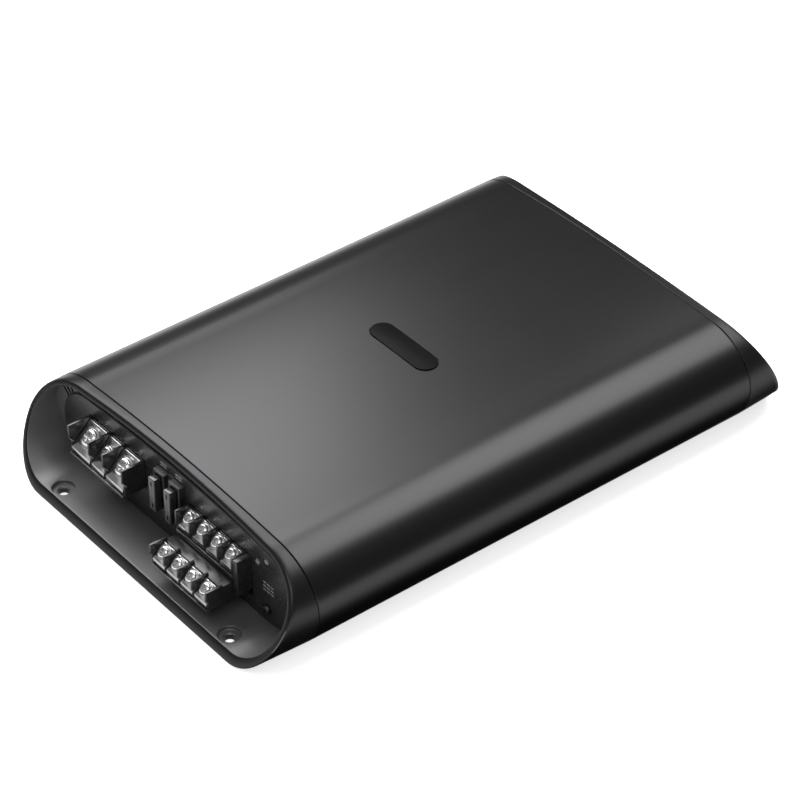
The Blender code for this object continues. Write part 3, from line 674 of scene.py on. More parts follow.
class Repeater:
    """A node tree that stands a shape on every point of a mesh, and joins the copies."""

    def __init__(self) -> None:
        """Builds the tree."""
        tree = bpy.data.node_groups.new("stand_on_points", "GeometryNodeTree")
        face = tree.interface
        sockets = (("Points", "Geometry"), ("Shape", "Object"), ("Scale", "Float"), ("Finish", "Material"))
        for name, kind in sockets:
            face.new_socket(name, in_out="INPUT", socket_type=f"NodeSocket{kind}")
        face.new_socket("Mesh", in_out="OUTPUT", socket_type="NodeSocketGeometry")
        self.tree = tree
        self.keys = {item.name: item.identifier for item in face.items_tree if item.in_out == "INPUT"}
        start, end, shape, turn, stand, real, dress = (
            tree.nodes.new(kind) for kind in (
                "NodeGroupInput", "NodeGroupOutput", "GeometryNodeObjectInfo",
                "GeometryNodeInputNamedAttribute", "GeometryNodeInstanceOnPoints",
                "GeometryNodeRealizeInstances", "GeometryNodeSetMaterial",
            )
        )
        turn.data_type = "FLOAT_VECTOR"
        turn.inputs["Name"].default_value = "turn"
        for source, output, target, entry in (
            (start, "Points", stand, "Points"), (start, "Shape", shape, "Object"),
            (shape, "Geometry", stand, "Instance"), (turn, "Attribute", stand, "Rotation"),
            (start, "Scale", stand, "Scale"), (stand, "Instances", real, "Geometry"),
            (real, "Geometry", dress, "Geometry"), (start, "Finish", dress, "Material"),
            (dress, "Geometry", end, "Mesh"),
        ):
            tree.links.new(source.outputs[output], target.inputs[entry])

    def stand(
        self, name: str, shape: Object, places: Sequence[Point], finish: Finish, turns: Sequence[Point] = (),
    ) -> Object:
        """Stands a shape on each place.

        Args:
            name: the new object's name.
            shape: the object to copy, which is removed.
            places: where the copies' origins go.
            finish: the material of the copies.
            turns: each copy's XYZ rotation in radians, if they are turned.

        Returns:
            One object with every copy as plain mesh.
        """
        mesh = bpy.data.meshes.new(name)
        mesh.from_pydata(places, [], [])
        turned = mesh.attributes.new("turn", "FLOAT_VECTOR", "POINT")
        for index, turn in enumerate(turns):
            turned.data[index].vector = turn
        row = new_object(name, mesh)
        modifier = row.modifiers.new("stand", "NODES")
        modifier.node_group = self.tree
        for key, value in (("Shape", shape), ("Scale", 1.0), ("Finish", finish.material())):
            modifier[self.keys[key]] = value
        settle(row)
        bpy.data.objects.remove(shape)
        return row


REPEAT = Repeater()


# ---------------------------------------------------------------- casing


@dataclass(frozen=True)
class Box:
    """A CAD node's box at rest."""

    low: Vector
    high: Vector

    @classmethod
    def of(cls, node: str) -> "Box":
        """The box of a node."""
        low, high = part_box(node)
        return cls(Vector(low), Vector(high))

    @property
    def centre(self) -> Vector:
        """The middle."""
        return (self.low + self.high) / 2

    def span(self, axis: int, grow: float = 0.0) -> Flat:
        """Where the box starts and ends along an axis, made longer at both ends."""
        return self.low[axis] - grow, self.high[axis] + grow

    def opening(self) -> tuple[Flat, Flat]:
        """The X and Z spans of a window that clears the box."""
        return self.span(0, GAP), self.span(2, GAP)


Nodes = list[tuple[str, Box]]


def numbered(stem: str, count: int) -> Nodes:
    """The CAD nodes whose names end in _1, _2 and so on, with their boxes."""
    return [(f"{stem}_{number}", Box.of(f"{stem}_{number}")) for number in range(1, count + 1)]


@dataclass(frozen=True)
class Station:
    """One point of an oval outline: which curve it lies on, how far round it, and on which side."""

    curve: str
    share: float
    side: int


@dataclass(frozen=True)
class Oval:
    """A flat-bottomed oval with a crowned top. Every oval has the same number of points."""

    half_width: float
    bottom: float
    top: float
    belly: float
    shoulder: float
    foot: float
    crown: float = 2.7 * MM
    corner_steps: int = 22
    crown_steps: int = 14

    def stations(self) -> list[Station]:
        """Lists the outline's points in order.

        Returns:
            The stations, up the right side and down the left.
        """
        right = [Station("foot", i / self.corner_steps, 1) for i in range(self.corner_steps + 1)]
        right += [Station("shoulder", i / self.corner_steps, 1) for i in range(1, self.corner_steps + 1)]
        right += [Station("crown", i / self.crown_steps, 1) for i in range(1, self.crown_steps)]
        left = [Station(s.curve, s.share, -1) for s in reversed(right)]
        return [*right, Station("crown", 1.0, 0), *left]

    def point(self, station: Station, side: float = 0.0, roof: float = 0.0, floor: float = 0.0) -> Flat:
        """Finds where a station lies.

        Args:
            station: the station.
            side: how far the sides are drawn in.
            roof: how far the top is drawn in.
            floor: how far the underside is drawn in.

        Returns:
            Its X and Z.
        """
        width, angle = self.half_width - side, math.pi / 2 * station.share
        flat_top, flat_bottom = self.half_width - self.shoulder, self.half_width - self.foot
        if station.curve == "foot":
            x = flat_bottom + (width - flat_bottom) * math.sin(angle)
            z = self.belly - (self.belly - self.bottom - floor) * math.cos(angle)
        elif station.curve == "shoulder":
            x = flat_top + (width - flat_top) * math.cos(angle)
            z = self.belly + (self.top - roof - self.belly) * math.sin(angle)
        else:
            x = flat_top * (1 - station.share)
            z = self.top - roof + self.crown * (1 - (x / flat_top) ** 2)
        return x * station.side, z

    def outline(self, side: float, roof: float, floor: float) -> list[Flat]:
        """The whole outline, drawn in by these amounts."""
        return [self.point(station, side, roof, floor) for station in self.stations()]

    def ring(self, y: float, side: float = 0.0, *roof_floor: float) -> list[Point]:
        """The outline at one Y. The roof and floor are drawn in as the sides are, unless they are given."""
        return [(x, y, z) for x, z in self.outline(side, *(roof_floor or (side, side)))]


LAMPS = "power_lamp", "fault_lamp"
SLEEVE_BOX, PANEL_BOX, BOARD, BADGE = (
    Box.of(node) for node in ("heatsink_sleeve", "terminal_panel", "circuit_board", "top_badge")
)
PANEL_SCREW = Box.of("front_panel_screw_right").centre
SEAM, FACE = SLEEVE_BOX.high.y, -PANEL_BOX.low.y
CASING = Oval(
    half_width=SLEEVE_BOX.high.x, bottom=0.0, top=SLEEVE_BOX.high.z - Oval.crown, belly=29.2 * MM,
    shoulder=32.5 * MM, foot=28.4 * MM,
)
PANEL = Oval(
    half_width=PANEL_BOX.high.x, bottom=PANEL_BOX.low.z, top=PANEL_BOX.high.z - Oval.crown, belly=27.7 * MM,
    shoulder=24.0 * MM, foot=20.0 * MM,
)


@dataclass
class Sleeve:
    """The extruded casing, its rails and screw channels, and the badge in its top."""

    wall: float = 3.0 * MM
    edge: float = 0.35 * MM
    rail_depth: float = 4.0 * MM
    rail_thickness: float = 1.5 * MM
    bite: float = 1.0 * MM
    channel_outer: float = 3.1 * MM
    channel_bore: float = 1.5 * MM
    pocket_height: float = 5.0 * MM
    badge_round: int = 24

    def build(self) -> None:
        """Makes every piece of the sleeve."""
        self.shell()
        self.rails()
        self.badge()

    def shell(self) -> None:
        """The tube, with broken edges at both ends and a pocket for the badge."""
        outer = (-SEAM, self.edge), (self.edge - SEAM, 0.0), (SEAM - self.edge, 0.0), (SEAM, self.edge)
        inner = (SEAM, self.wall), (-SEAM, self.wall)
        tube = loft("sleeve_shell", [CASING.ring(y, side) for y, side in outer + inner], closed=True)
        floor = BADGE.low.z - GAP
        carve(tube, prism("pocket", self.pill(GAP), (floor, floor + self.pocket_height), "Z"))
        publish(tube, ANODISED, "anodised_grey", "heatsink_sleeve")

    def inner_half_width(self, z: float) -> float:
        """Half the width inside the tube, below the belly.

        Args:
            z: the height.

        Returns:
            The distance from the middle to the wall.
        """
        share = (CASING.belly - z) / (CASING.belly - self.wall)
        foot = CASING.foot - self.wall
        return CASING.half_width - self.wall - foot + foot * math.sqrt(1 - share ** 2)

    def rails(self) -> None:
        """The rails that hold the board and the channels that take the end screws."""
        parts, length = [], about(0.0, SEAM)
        bore, outer = self.channel_bore, self.channel_outer
        for side in SIDES:
            for z in (BOARD.low.z - GAP - self.rail_thickness, BOARD.high.z + GAP):
                reach = self.inner_half_width(z + self.rail_thickness / 2)
                across = side * (reach - self.rail_depth), side * (reach + self.bite)
                parts.append(brick("rail", across, length, (z, z + self.rail_thickness)))
            wall = self.inner_half_width(PANEL_SCREW.z) + self.bite
            across = side * (PANEL_SCREW.x + bore + GAP), side * wall
            parts.append(brick("web", across, length, about(PANEL_SCREW.z, (outer - bore) / 2)))
            corners = (-SEAM, bore), (-SEAM, outer), (SEAM, outer), (SEAM, bore)
            centre = side * PANEL_SCREW.x, PANEL_SCREW.z
            tube = [[(x, y, z) for x, z in circle(radius, 32, centre)] for y, radius in corners]
            parts.append(loft("channel", tube, closed=True))
        publish(gather("sleeve_rails", *parts), ANODISED, "anodised_grey")

    def pill(self, grow: float) -> list[Flat]:
        """Outline of the round-ended badge.

        Args:
            grow: how far outside the badge it runs.

        Returns:
            Its (x, y) points.
        """
        end = (BADGE.high.y - BADGE.low.y) / 2
        half, radius = (BADGE.high.x - BADGE.low.x) / 2 - end, end + grow
        angles = [math.pi * i / self.badge_round - math.pi / 2 for i in range(self.badge_round + 1)]
        bow = [(half + radius * math.cos(angle), radius * math.sin(angle)) for angle in angles]
        return bow + [(-x, -y) for x, y in bow]

    def badge(self) -> None:
        """The plain inlay, with a rounded rim."""
        top = BADGE.high.z
        rim = (BADGE.low.z, 0.0), (top - 0.3 * MM, 0.0), (top - 0.1 * MM, 0.1 * MM), (top, 0.35 * MM)
        inlay = loft("top_inlay", [[(x, y, z) for x, y in self.pill(-inset)] for z, inset in rim])
        publish(inlay, BADGE_BLACK, "badge_gloss", "top_badge")


@dataclass
class EndCap:
    """A cast end cap: slanted rim, tray with two screw holes, flange and spigot."""

    end: End
    reach: float = 28.3 * MM
    top_length: float = 5.6 * MM
    taper: float = 2.0 * MM
    wall: float = 3.1 * MM
    roof: float = 2.8 * MM
    floor: float = 5.4 * MM
    edge: float = 0.35 * MM
    rim_band: float = 3.0 * MM
    outer_round: float = 0.9 * MM
    inner_round: float = 0.6 * MM
    spigot_length: float = 5.0 * MM
    spigot_gap: float = 3.35 * MM
    spigot_wall: float = 2.0 * MM
    notch_depth: float = 32.0 * MM
    mount_x: float = 68.6 * MM
    mount_out: float = 24.3 * MM
    flange_front: float = 2.3 * MM
    window_inset: float = 9.0 * MM
    lamp_room: float = 2.7 * MM
    slots: int = 3
    slot_start: float = 36.0
    slot_step: float = 9.0
    slot_length: float = 6.0 * MM
    slot_height: float = 1.5 * MM

    @property
    def name(self) -> str:
        """The CAD node this cap stands for."""
        return "front_end_cap" if self.end is End.TERMINALS else "rear_end_cap"

    @property
    def through(self) -> Flat:
        """The Y span of a cutter that goes through the flange."""
        return self.end.span(SEAM - 8 * MM, FACE)

    def build(self) -> None:
        """Makes the cap."""
        cap = loft(f"{self.name}_casting", self.rings(), closed=True)
        carve(cap, *self.spigot_notches(), *self.mount_cutters(), *self.screw_cutters(), self.slot_cutter())
        for lamp in [Box.of(node).centre for node in LAMPS if self.end is End.TERMINALS]:
            carve(cap, prism("lamp_room", circle(self.lamp_room, 24, (lamp.x, lamp.z)), self.through, "Y"))
        publish(cap, CAP_PAINT, "cap_grey", self.name)
        self.line(cap)

    def line(self, cap: Object) -> None:
        """Gives the tray and the walls round it a lighter, flatter copy of the cap paint, whose lighter
        colour is painted light.

        Args:
            cap: the cap.
        """
        # Faces inside the tray take the lighter copy of the cap paint, which is painted light.
        cap.data.materials.append(LIT_TRAY_PAINT.material())
        inner = CASING.outline(1.6 * MM, 1.4 * MM, 2.6 * MM)
        start = FACE - self.flange_front - 0.1 * MM
        for face in cap.data.polygons:
            x, y, z = face.center
            face.material_index = int(start < abs(y) < self.rim_y(z) - GAP and encloses(inner, x, z))

    def rim_y(self, z: float) -> float:
        """How far out the slanted rim lies at a height."""
        return SEAM + self.top_length + (CASING.top - z) / CASING.top * self.reach

    def rim_ring(self, share: float, drop: float) -> list[Point]:
        """A ring near the rim.

        Args:
            share: 0 on the outer skin, 1 on the inner skin.
            drop: how far it lies back from the rim's plane.

        Returns:
            The ring's points.
        """
        points = []
        for station in CASING.stations():
            z_out = CASING.point(station)[1]
            z = z_out + (CASING.point(station, 0.0, self.roof, self.floor)[1] - z_out) * share
            y = self.rim_y(z) - drop
            draw = self.taper * (y - SEAM) / self.reach
            x_out = CASING.point(station, draw)[0]
            x_in = CASING.point(station, draw + self.wall)[0]
            points.append((x_out + (x_in - x_out) * share, self.end.out(y), z))
        return points

    def rings(self) -> list[list[Point]]:
        """Follows the casting's section.

        Returns:
            Its rings, from the seam round the rim and back through the window and the spigot.
        """
        out, seam, back = self.end.out, SEAM + GAP, FACE - self.flange_front
        rings = [CASING.ring(out(seam), self.edge), CASING.ring(out(seam + self.edge))]
        o, i = self.outer_round, self.inner_round
        steps = ((0.0, self.rim_band), (0.0, o), (0.05, 0.55 * o), (0.14, 0.2 * o), (0.28, 0.0), (0.78, 0.0),
                 (0.9, 0.2 * i), (0.965, 0.5 * i), (1.0, i))
        rings += [self.rim_ring(share, drop) for share, drop in steps]
        draw = self.taper * (back - SEAM) / self.reach
        rings.append(CASING.ring(out(back), self.wall + draw, self.roof, self.floor))
        window = Oval(
            half_width=PANEL.half_width - self.window_inset, bottom=self.floor + 4 * MM,
            top=PANEL.top - 5 * MM, belly=CASING.belly, shoulder=PANEL.shoulder, foot=PANEL.foot,
        )
        rings += [window.ring(out(back)), window.ring(out(seam))]
        outer, tip = self.spigot_gap, SEAM - self.spigot_length
        inner = outer + self.spigot_wall
        spigot = (seam, inner), (tip, inner), (tip, outer), (seam, outer)
        return rings + [CASING.ring(out(y), inset) for y, inset in spigot]

    def spigot_notches(self) -> list[Object]:
        """Makes room in the spigot for the board, its rails and the screw channels.

        Returns:
            The cutters.
        """
        span = self.end.span(SEAM - self.spigot_length - MM, SEAM + 0.1 * MM)
        up = BOARD.low.z - 2.4 * MM, PANEL_SCREW.z + 1.6 * MM
        cutters = []
        for side in SIDES:
            across = side * CASING.half_width, side * (CASING.half_width - self.notch_depth)
            cutters.append(brick("board_notch", across, span, up))
            channel = circle(3.7 * MM, 24, (side * PANEL_SCREW.x, PANEL_SCREW.z))
            cutters.append(prism("channel_notch", channel, span, "Y"))
        return cutters

    def mount_cutters(self) -> list[Object]:
        """Makes a flat recess and a countersunk hole at each side of the tray.

        Returns:
            The cutters.
        """
        bore, recess = mm((-2.6, 2.7), (-2.0, 3.3)), mm((-2.0, 5.45), (-1.7, 5.75), (-0.25, 5.75))
        steps = [*bore, *recess, *mm((0.3, 6.3), (1.0, 6.3))]
        profile = [(-MM, 2.7 * MM), *((self.floor + z, radius) for z, radius in steps)]
        y = self.end.out(SEAM + self.mount_out)
        places = [Matrix.Translation((side * self.mount_x, y, 0)) for side in SIDES]
        return [move(lathe("mount", profile, 56), place) for place in places]

    def screw_cutters(self) -> list[Object]:
        """A hole for each panel screw."""
        holes = [circle(1.5 * MM, 20, (side * PANEL_SCREW.x, PANEL_SCREW.z)) for side in SIDES]
        return [prism("screw_hole", hole, self.through, "Y") for hole in holes]

    def slot_cutter(self) -> Object:
        """Makes the short slots through the flange, outside the panel's upper corners.

        Returns:
            One cutter for all of them.
        """
        slot = brick("slot", about(0.0, self.slot_length / 2), self.through, about(0.0, self.slot_height / 2))
        angles = [math.radians(self.slot_start + self.slot_step * index) for index in range(self.slots)]
        places, turns = [], []
        for side in SIDES:
            for angle in angles:
                x = CASING.half_width - CASING.shoulder + (CASING.shoulder - 8.2 * MM) * math.cos(angle)
                z = CASING.belly + (CASING.top - CASING.belly - 6.4 * MM) * math.sin(angle)
                places.append((side * x, 0.0, z))
                turns.append((0.0, -side * angle, 0.0))
        return REPEAT.stand("slots", slot, places, CAP_PAINT, turns)


@dataclass
class CrossScrew:
    """A pan-head cross-recess screw about Z, whose seat is a gap above zero."""

    head: float
    height: float
    shank: float
    length: float
    washer: float = 0.0
    washer_thickness: float = 0.6 * MM
    pitch: float = 0.8 * MM
    dome_steps: int = 8

    def make(self, name: str) -> Object:
        """Makes the screw.

        Args:
            name: the object's name.

        Returns:
            The screw, standing along Z at the origin.
        """
        radius, shank, tip, base, chamfer = self.head / 2, self.shank, -self.length, GAP, 0.1 * MM
        profile = [(tip, 0.0), (tip, shank * 0.75), (tip + 0.6 * MM, shank)]
        for turn in range(int((self.length - 1.4 * MM) / self.pitch)):
            thread = (0.0, shank), (0.2 * MM, shank * 0.84), (0.4 * MM, shank * 0.84), (0.6 * MM, shank)
            profile += [(tip + 0.9 * MM + turn * self.pitch + rise, r) for rise, r in thread]
        profile.append((base, shank))
        if self.washer:
            w, top = self.washer, base + self.washer_thickness
            profile += [(base, w - chamfer), (base + chamfer, w), (top - chamfer, w), (top, w - chamfer)]
            base = top
        foot, top = base + 0.12 * MM, GAP + self.height
        profile += [(base, radius * 0.98), (foot, radius)]
        for step in range(1, self.dome_steps + 1):
            angle = math.pi / 2 * step / self.dome_steps
            rise = (top - foot) * math.sin(angle) ** 1.2
            profile.append((foot + rise, radius * (1 - 0.42 * (1 - math.cos(angle)))))
        profile += [(top + 0.02 * MM, radius * 0.3), (top + 0.03 * MM, 0.0)]
        screw = lathe(name, profile, 40)
        carve(screw, self.recess(top + 0.02 * MM))
        return screw

    def recess(self, top: float) -> Object:
        """Makes the tapered cross.

        Args:
            top: the height of the head's top.

        Returns:
            Its cutter.
        """
        rings = []
        for z, scale in ((top - 0.68 * self.height, 0.42), (top + 0.2 * MM, 1.04)):
            half, wide = self.head * 0.29 * scale, self.head * 0.062 * (0.5 + 0.5 * scale)
            turns = [Matrix.Rotation(quarter * math.pi / 2, 2) for quarter in range(4)]
            corners = (half, -wide), (half, wide), (wide, wide)
            rings.append([(*(turn @ Vector(corner)), z) for turn in turns for corner in corners])
        return loft("recess", rings)


@dataclass
class EndPanel:
    """A flat moulded panel with windows and holes, and the screws that hold it."""

    end: End
    windows: Sequence[tuple[Flat, Flat]]
    holes: Sequence[tuple[float, float, float]]
    chamfer: float = 0.45 * MM
    thickness: float = 2.0 * MM
    screw_hole: float = 3.0 * MM

    def build(self) -> None:
        """Makes the panel and its two screws."""
        out, back, chamfer = self.end.out, FACE - self.thickness, self.chamfer
        rings = [PANEL.ring(out(back)), PANEL.ring(out(FACE - chamfer)), PANEL.ring(out(FACE), chamfer)]
        name, place = ("terminal", "front") if self.end is End.TERMINALS else ("input", "rear")
        panel = loft(f"{name}_panel_plate", rings)
        through = self.end.span(back - MM, FACE + MM)
        for across, up in self.windows:
            carve(panel, brick("window", across, through, up))
        screw_holes = [(side * PANEL_SCREW.x, PANEL_SCREW.z, self.screw_hole) for side in SIDES]
        for x, z, diameter in (*self.holes, *screw_holes):
            carve(panel, prism("hole", circle(diameter / 2, 32, (x, z)), through, "Y"))
        publish(panel, PANEL_BLACK, "panel_black", f"{name}_panel")
        for node in (f"{place}_panel_screw_left", f"{place}_panel_screw_right"):
            centre = Box.of(node).centre
            screw = CrossScrew(head=5.4 * MM, height=1.6 * MM, shank=1.2 * MM, length=16.0 * MM)
            where = facing(centre.x, out(FACE), centre.z, (0, self.end.value, 0))
            publish(move(screw.make(f"{node}_body"), where), BLACK_OXIDE, "screw_steel", node)


# ---------------------------------------------------------------- terminals


@dataclass
class BarrierStrip:
    """A row of screw terminals on a seat that slopes at 45 degrees, between partitions."""

    prefix: str
    cells: Sequence[float]
    heads: Sequence[float]
    depth: float
    left: float
    nose: float = 8.5 * MM
    foot: float = 0.0
    cheek: float = 0.0
    cheek_bottom: float = 0.0
    cheek_below: float = 7.2 * MM
    partition: float = 1.3 * MM
    plate: float = 0.8 * MM
    plate_start: float = 2.0 * MM
    strip: float = 2.4 * MM
    roof_drop: float = 0.6 * MM
    roll: float = 0.55 * MM

    def __post_init__(self) -> None:
        """Finds the seat from the housing's box."""
        self.box = Box.of(f"{self.prefix}_housing")
        self.corner = Vector((0, self.box.low.y + self.depth, self.box.high.z))
        self.down = Vector((0, -1, -1)).normalized()
        self.out = Vector((0, -1, 1)).normalized()
        self.run = (self.depth - MM) * math.sqrt(2)

    def build(self) -> None:
        """Makes the housing, its plates and its screws."""
        self.housing()
        self.plates()
        self.screws()

    def yz(self, s: float, h: float) -> Flat:
        """The (y, z) of a place s down the seat and h above it."""
        point = self.corner + self.down * s + self.out * h
        return point.y, point.z

    @property
    def edges(self) -> list[float]:
        """The X of each partition."""
        return [self.left + sum(self.cells[:count]) for count in range(len(self.cells) + 1)]

    @property
    def middles(self) -> list[float]:
        """The X of each cell's middle."""
        return [(a + b) / 2 for a, b in zip(self.edges, self.edges[1:])]

    def housing(self) -> None:
        """The moulded body and its partitions, which are one shape repeated."""
        back, front, top = self.box.high.y, self.box.low.y, self.corner.z
        bottom = self.cheek_bottom + self.cheek_below if self.cheek else self.box.low.z
        foot_y, foot_z = self.yz(self.run, -self.plate - GAP)
        step, half, finish = foot_z - 2.6 * MM, self.partition / 2, TERMINAL_BLACK
        outline = [
            (back, top - self.roof_drop), self.yz(0.8 * MM, -self.plate - GAP), (foot_y, foot_z),
            (foot_y, step), (front, step), (front, bottom), (back, bottom),
        ]
        body = soften(prism(f"{self.prefix}_body", outline, (self.edges[0], self.edges[-1]), "X"), 0.25 * MM)
        rear, low, lip, nib = self.corner.y + 1.2 * MM, step - 0.4 * MM, top - self.nose, front + 1.1 * MM
        profile = [(front, top), (front, lip), (nib, lip), (nib, low), (rear, low), (rear, top)]
        fin = soften(prism("partition", profile, about(0.0, half), "X"), 0.22 * MM, 3)
        places = [(x, 0.0, 0.0) for x in self.edges]
        parts = [body, REPEAT.stand("partitions", fin, places, finish)]
        if self.foot:
            foot = brick("foot", (0.0, half + self.foot), (front, front + 0.8 * MM), (lip, lip + 0.9 * MM))
            parts.append(REPEAT.stand("feet", soften(foot, 0.2 * MM), places, finish))
        if self.cheek:
            across = self.edges[-1] + half + GAP, self.edges[-1] + half + self.cheek
            apron = brick("apron", across, self.box.span(1), (self.cheek_bottom, top))
            parts.append(soften(apron, 0.3 * MM, 3))
        publish(gather(f"{self.prefix}_moulding", *parts), finish, "black_plastic", f"{self.prefix}_housing")

    def plates(self) -> None:
        """The clamping plates, rolled at the back, bent down at the front and pierced for their screws."""
        angles = [math.radians(angle) for angle in range(-50, 51, 20)]
        bow = [(self.roll * math.cos(angle), self.roll * math.sin(angle)) for angle in angles]
        roll = [self.yz(self.plate_start - back, rise - self.plate / 2) for back, rise in bow]
        bend = self.run + GAP
        (y, z), under = self.yz(bend, 0), self.yz(bend, -self.plate)
        outline = [*roll, (y, z), (y, z - self.strip), (under[0], z - self.strip), under]
        parts = []
        for cell, x, head in zip(self.cells, self.middles, self.heads):
            plate = prism("plate", outline, about(x, cell / 2 - self.partition / 2 - GAP), "X")
            radius = head * 0.27 + GAP
            carve(plate, move(lathe("hole", [(-2 * MM, radius), (MM, radius)], 28), self.seat(x)))
            parts.append(soften(plate, 0.12 * MM))
        nodes = [f"{self.prefix}_plate_{number + 1}" for number in range(len(self.cells))]
        publish(gather(f"{self.prefix}_plates", *parts), NICKEL, "nickel", *nodes)

    def seat(self, x: float) -> Matrix:
        """The place of a screw in the middle of a cell."""
        return facing(x, *self.yz(self.run / 2, 0), self.out)

    def screws(self) -> None:
        """One screw for each cell, each on its own body."""
        for number, (cell, x, head) in enumerate(zip(self.cells, self.middles, self.heads), start=1):
            washer = min(cell / 2 - self.partition / 2 - 2 * GAP, head * 0.625)
            node = f"{self.prefix}_screw_{number}"
            screw = CrossScrew(head, 2.3 * MM, head * 0.27, 4.6 * MM, washer).make(f"{node}_body")
            publish(move(screw, self.seat(x)), ZINC, "screw_steel", node, body=node)


@dataclass
class FuseBank:
    """Two blade fuses and the holder that they pull out of."""

    clearance: float = 0.35 * MM
    wall: float = 1.5 * MM
    head_depth: float = 4.0 * MM
    blade: float = 5.0 * MM
    blade_half: float = 2.6 * MM

    def build(self) -> None:
        """Makes the holder, with a pocket for each fuse and contact slots inside, and both fuses."""
        fuses = {node: Box.of(node) for node in ("fuse_left", "fuse_right")}
        left, right = fuses.values()
        box, grow = Box.of("fuse_holder"), self.clearance + self.wall
        holder = brick("fuse_holder_moulding", box.span(0), box.span(1), box.span(2))
        valley = left.high.x + grow, right.low.x - grow
        carve(holder, brick("valley", valley, (box.low.y - MM, -FACE - GAP), box.span(2, MM)))
        soften(holder, 0.35 * MM, 3)
        for fuse in fuses.values():
            inner, (x, _, middle) = fuse.high.y - self.blade, fuse.centre
            along = box.low.y - MM, inner + GAP
            carve(holder, brick("pocket", fuse.span(0, self.clearance), along, fuse.span(2, self.clearance)))
            along = inner - MM, inner + 7 * MM
            for z in about(middle, self.blade):
                carve(holder, brick("contact", about(x, 0.9 * MM), along, about(z, 3 * MM)))
        publish(holder, HOLDER_BLACK, "black_plastic", "fuse_holder")
        for node, fuse in fuses.items():
            self.fuse(node, fuse)

    def fuse(self, node: str, box: Box) -> None:
        """A blade fuse: grip head, waisted body and two blades.

        Args:
            node: the CAD node and body of the fuse.
            box: its box.
        """
        (x, _, middle), front, shoulder = box.centre, box.low.y, box.low.y + self.head_depth
        tip, inner = box.high.y, box.high.y - self.blade
        head = soften(brick("head", box.span(0), (front, shoulder), box.span(2)), 0.5 * MM, 3)
        along = front - MM, front + 1.2 * MM
        for z in about(middle, 6.4 * MM):
            carve(head, brick("probe", about(x, 0.5 * MM), along, about(z, 1.3 * MM)))
        waist = brick("body", box.span(0, -0.7 * MM), (shoulder - 0.1 * MM, inner), box.span(2, -1.2 * MM))
        moulding = gather(f"{node}_moulding", head, soften(waist, GAP))
        publish(moulding, FUSE_SMOKE, "fuse_plastic", node, body=node)
        blades, half = [], self.blade_half
        for z in about(middle, self.blade):
            root, taper = (inner - MM, half), (tip - MM, half)
            side = [root, taper, (tip, half - MM)]
            outline = [(y, z - h) for y, h in side] + [(y, z + h) for y, h in reversed(side)]
            blades.append(soften(prism("blade", outline, about(x, 0.4 * MM), "X"), 0.08 * MM))
        publish(gather(f"{node}_blades", *blades), BLADE_METAL, "fuse_plastic", body=node)


@dataclass
class TerminalEnd:
    """Everything in the terminal end's tray."""

    pitch: float = 11.1 * MM
    ways: int = 4
    small_head: float = 6.4 * MM
    large_head: float = 9.4 * MM
    speaker_depth: float = 8.5 * MM
    speaker_left: float = 13.2 * MM
    power_depth: float = 13.4 * MM
    power_left: float = -68.8 * MM
    power_cells: Point = (17.0 * MM, 12.0 * MM, 15.9 * MM)
    lamp_hole: float = 3.6 * MM

    def build(self) -> None:
        """Makes the panel, the strips, the fuses, the lamps and the printed marks."""
        strips = upper, lower, power = self.strips()
        speakers = upper.box.span(0, GAP), (lower.box.low.z - GAP, upper.box.high.z + GAP)
        windows = speakers, power.box.opening(), Box.of("fuse_holder").opening()
        lamps = [Box.of(node).centre for node in LAMPS]
        EndPanel(End.TERMINALS, windows, [(lamp.x, lamp.z, self.lamp_hole) for lamp in lamps]).build()
        for part in (*strips, FuseBank()):
            part.build()
        for node, centre in zip(LAMPS, lamps):
            self.lamp(node, centre)
        self.marks()

    def strips(self) -> list[BarrierStrip]:
        """Lays out the terminals.

        Returns:
            The speaker strips, upper then lower, and the power strip.
        """
        small, large = self.small_head, self.large_head
        speaker = (self.pitch,) * self.ways, (small,) * self.ways, self.speaker_depth, self.speaker_left
        power = self.power_cells, (large, small, large), self.power_depth, self.power_left
        return [
            BarrierStrip("speaker_upper", *speaker, cheek=3.5 * MM, cheek_bottom=18.0 * MM),
            BarrierStrip("speaker_lower", *speaker, nose=5.5 * MM),
            BarrierStrip("power", *power, nose=8.0 * MM, foot=3.2 * MM),
        ]

    def lamp(self, node: str, centre: Vector) -> None:
        """A light pipe with a domed tip.

        Args:
            node: its CAD node.
            centre: the middle of that node.
        """
        stem = (-4.5, 0.0), (-4.5, 2.0), (-4.4, 2.1), (-2.3, 2.1), (-2.3, 1.5), (0.2, 1.5)
        dome = [(0.2 + 0.7 * math.sin(a), 1.5 * math.cos(a)) for a in (0.3, 0.6, 0.9, 1.2)]
        profile = mm(*stem, *dome, (0.9, 0.0))
        pipe = move(lathe(f"{node}_pipe", profile, 32), facing(centre.x, -FACE, centre.z, (0, -1, 0)))
        publish(pipe, LightPipe(f"{node}_clear", (0.10, 0.11, 0.12), 0.1), "lamp_clear", node)

    def marks(self) -> None:
        """Plain printed dashes above the fuses and beside the lamps."""
        holder = Box.of("fuse_holder")
        middles, rows = holder.span(0, -4.5 * MM), (holder.high.z + 1.8 * MM, holder.high.z + 3.4 * MM)
        spots = [(x, z) for middle in middles for z in rows for x in about(middle, 1.3 * MM)]
        spots += mm(*((x, 29.0 - 2.2 * row) for row in range(3) for x in (71.5, 74.4, 77.3)))
        along = -FACE - 0.04 * MM, -FACE + 0.1 * MM
        dash = soften(brick("dash", about(0.0, 1.1 * MM), along, about(0.0, 0.22 * MM)), 0.02 * MM, 1)
        marks = REPEAT.stand("terminal_marks", dash, [(x, 0.0, z) for x, z in spots], PRINT)
        publish(marks, PRINT, "panel_black")


# ---------------------------------------------------------------- input end


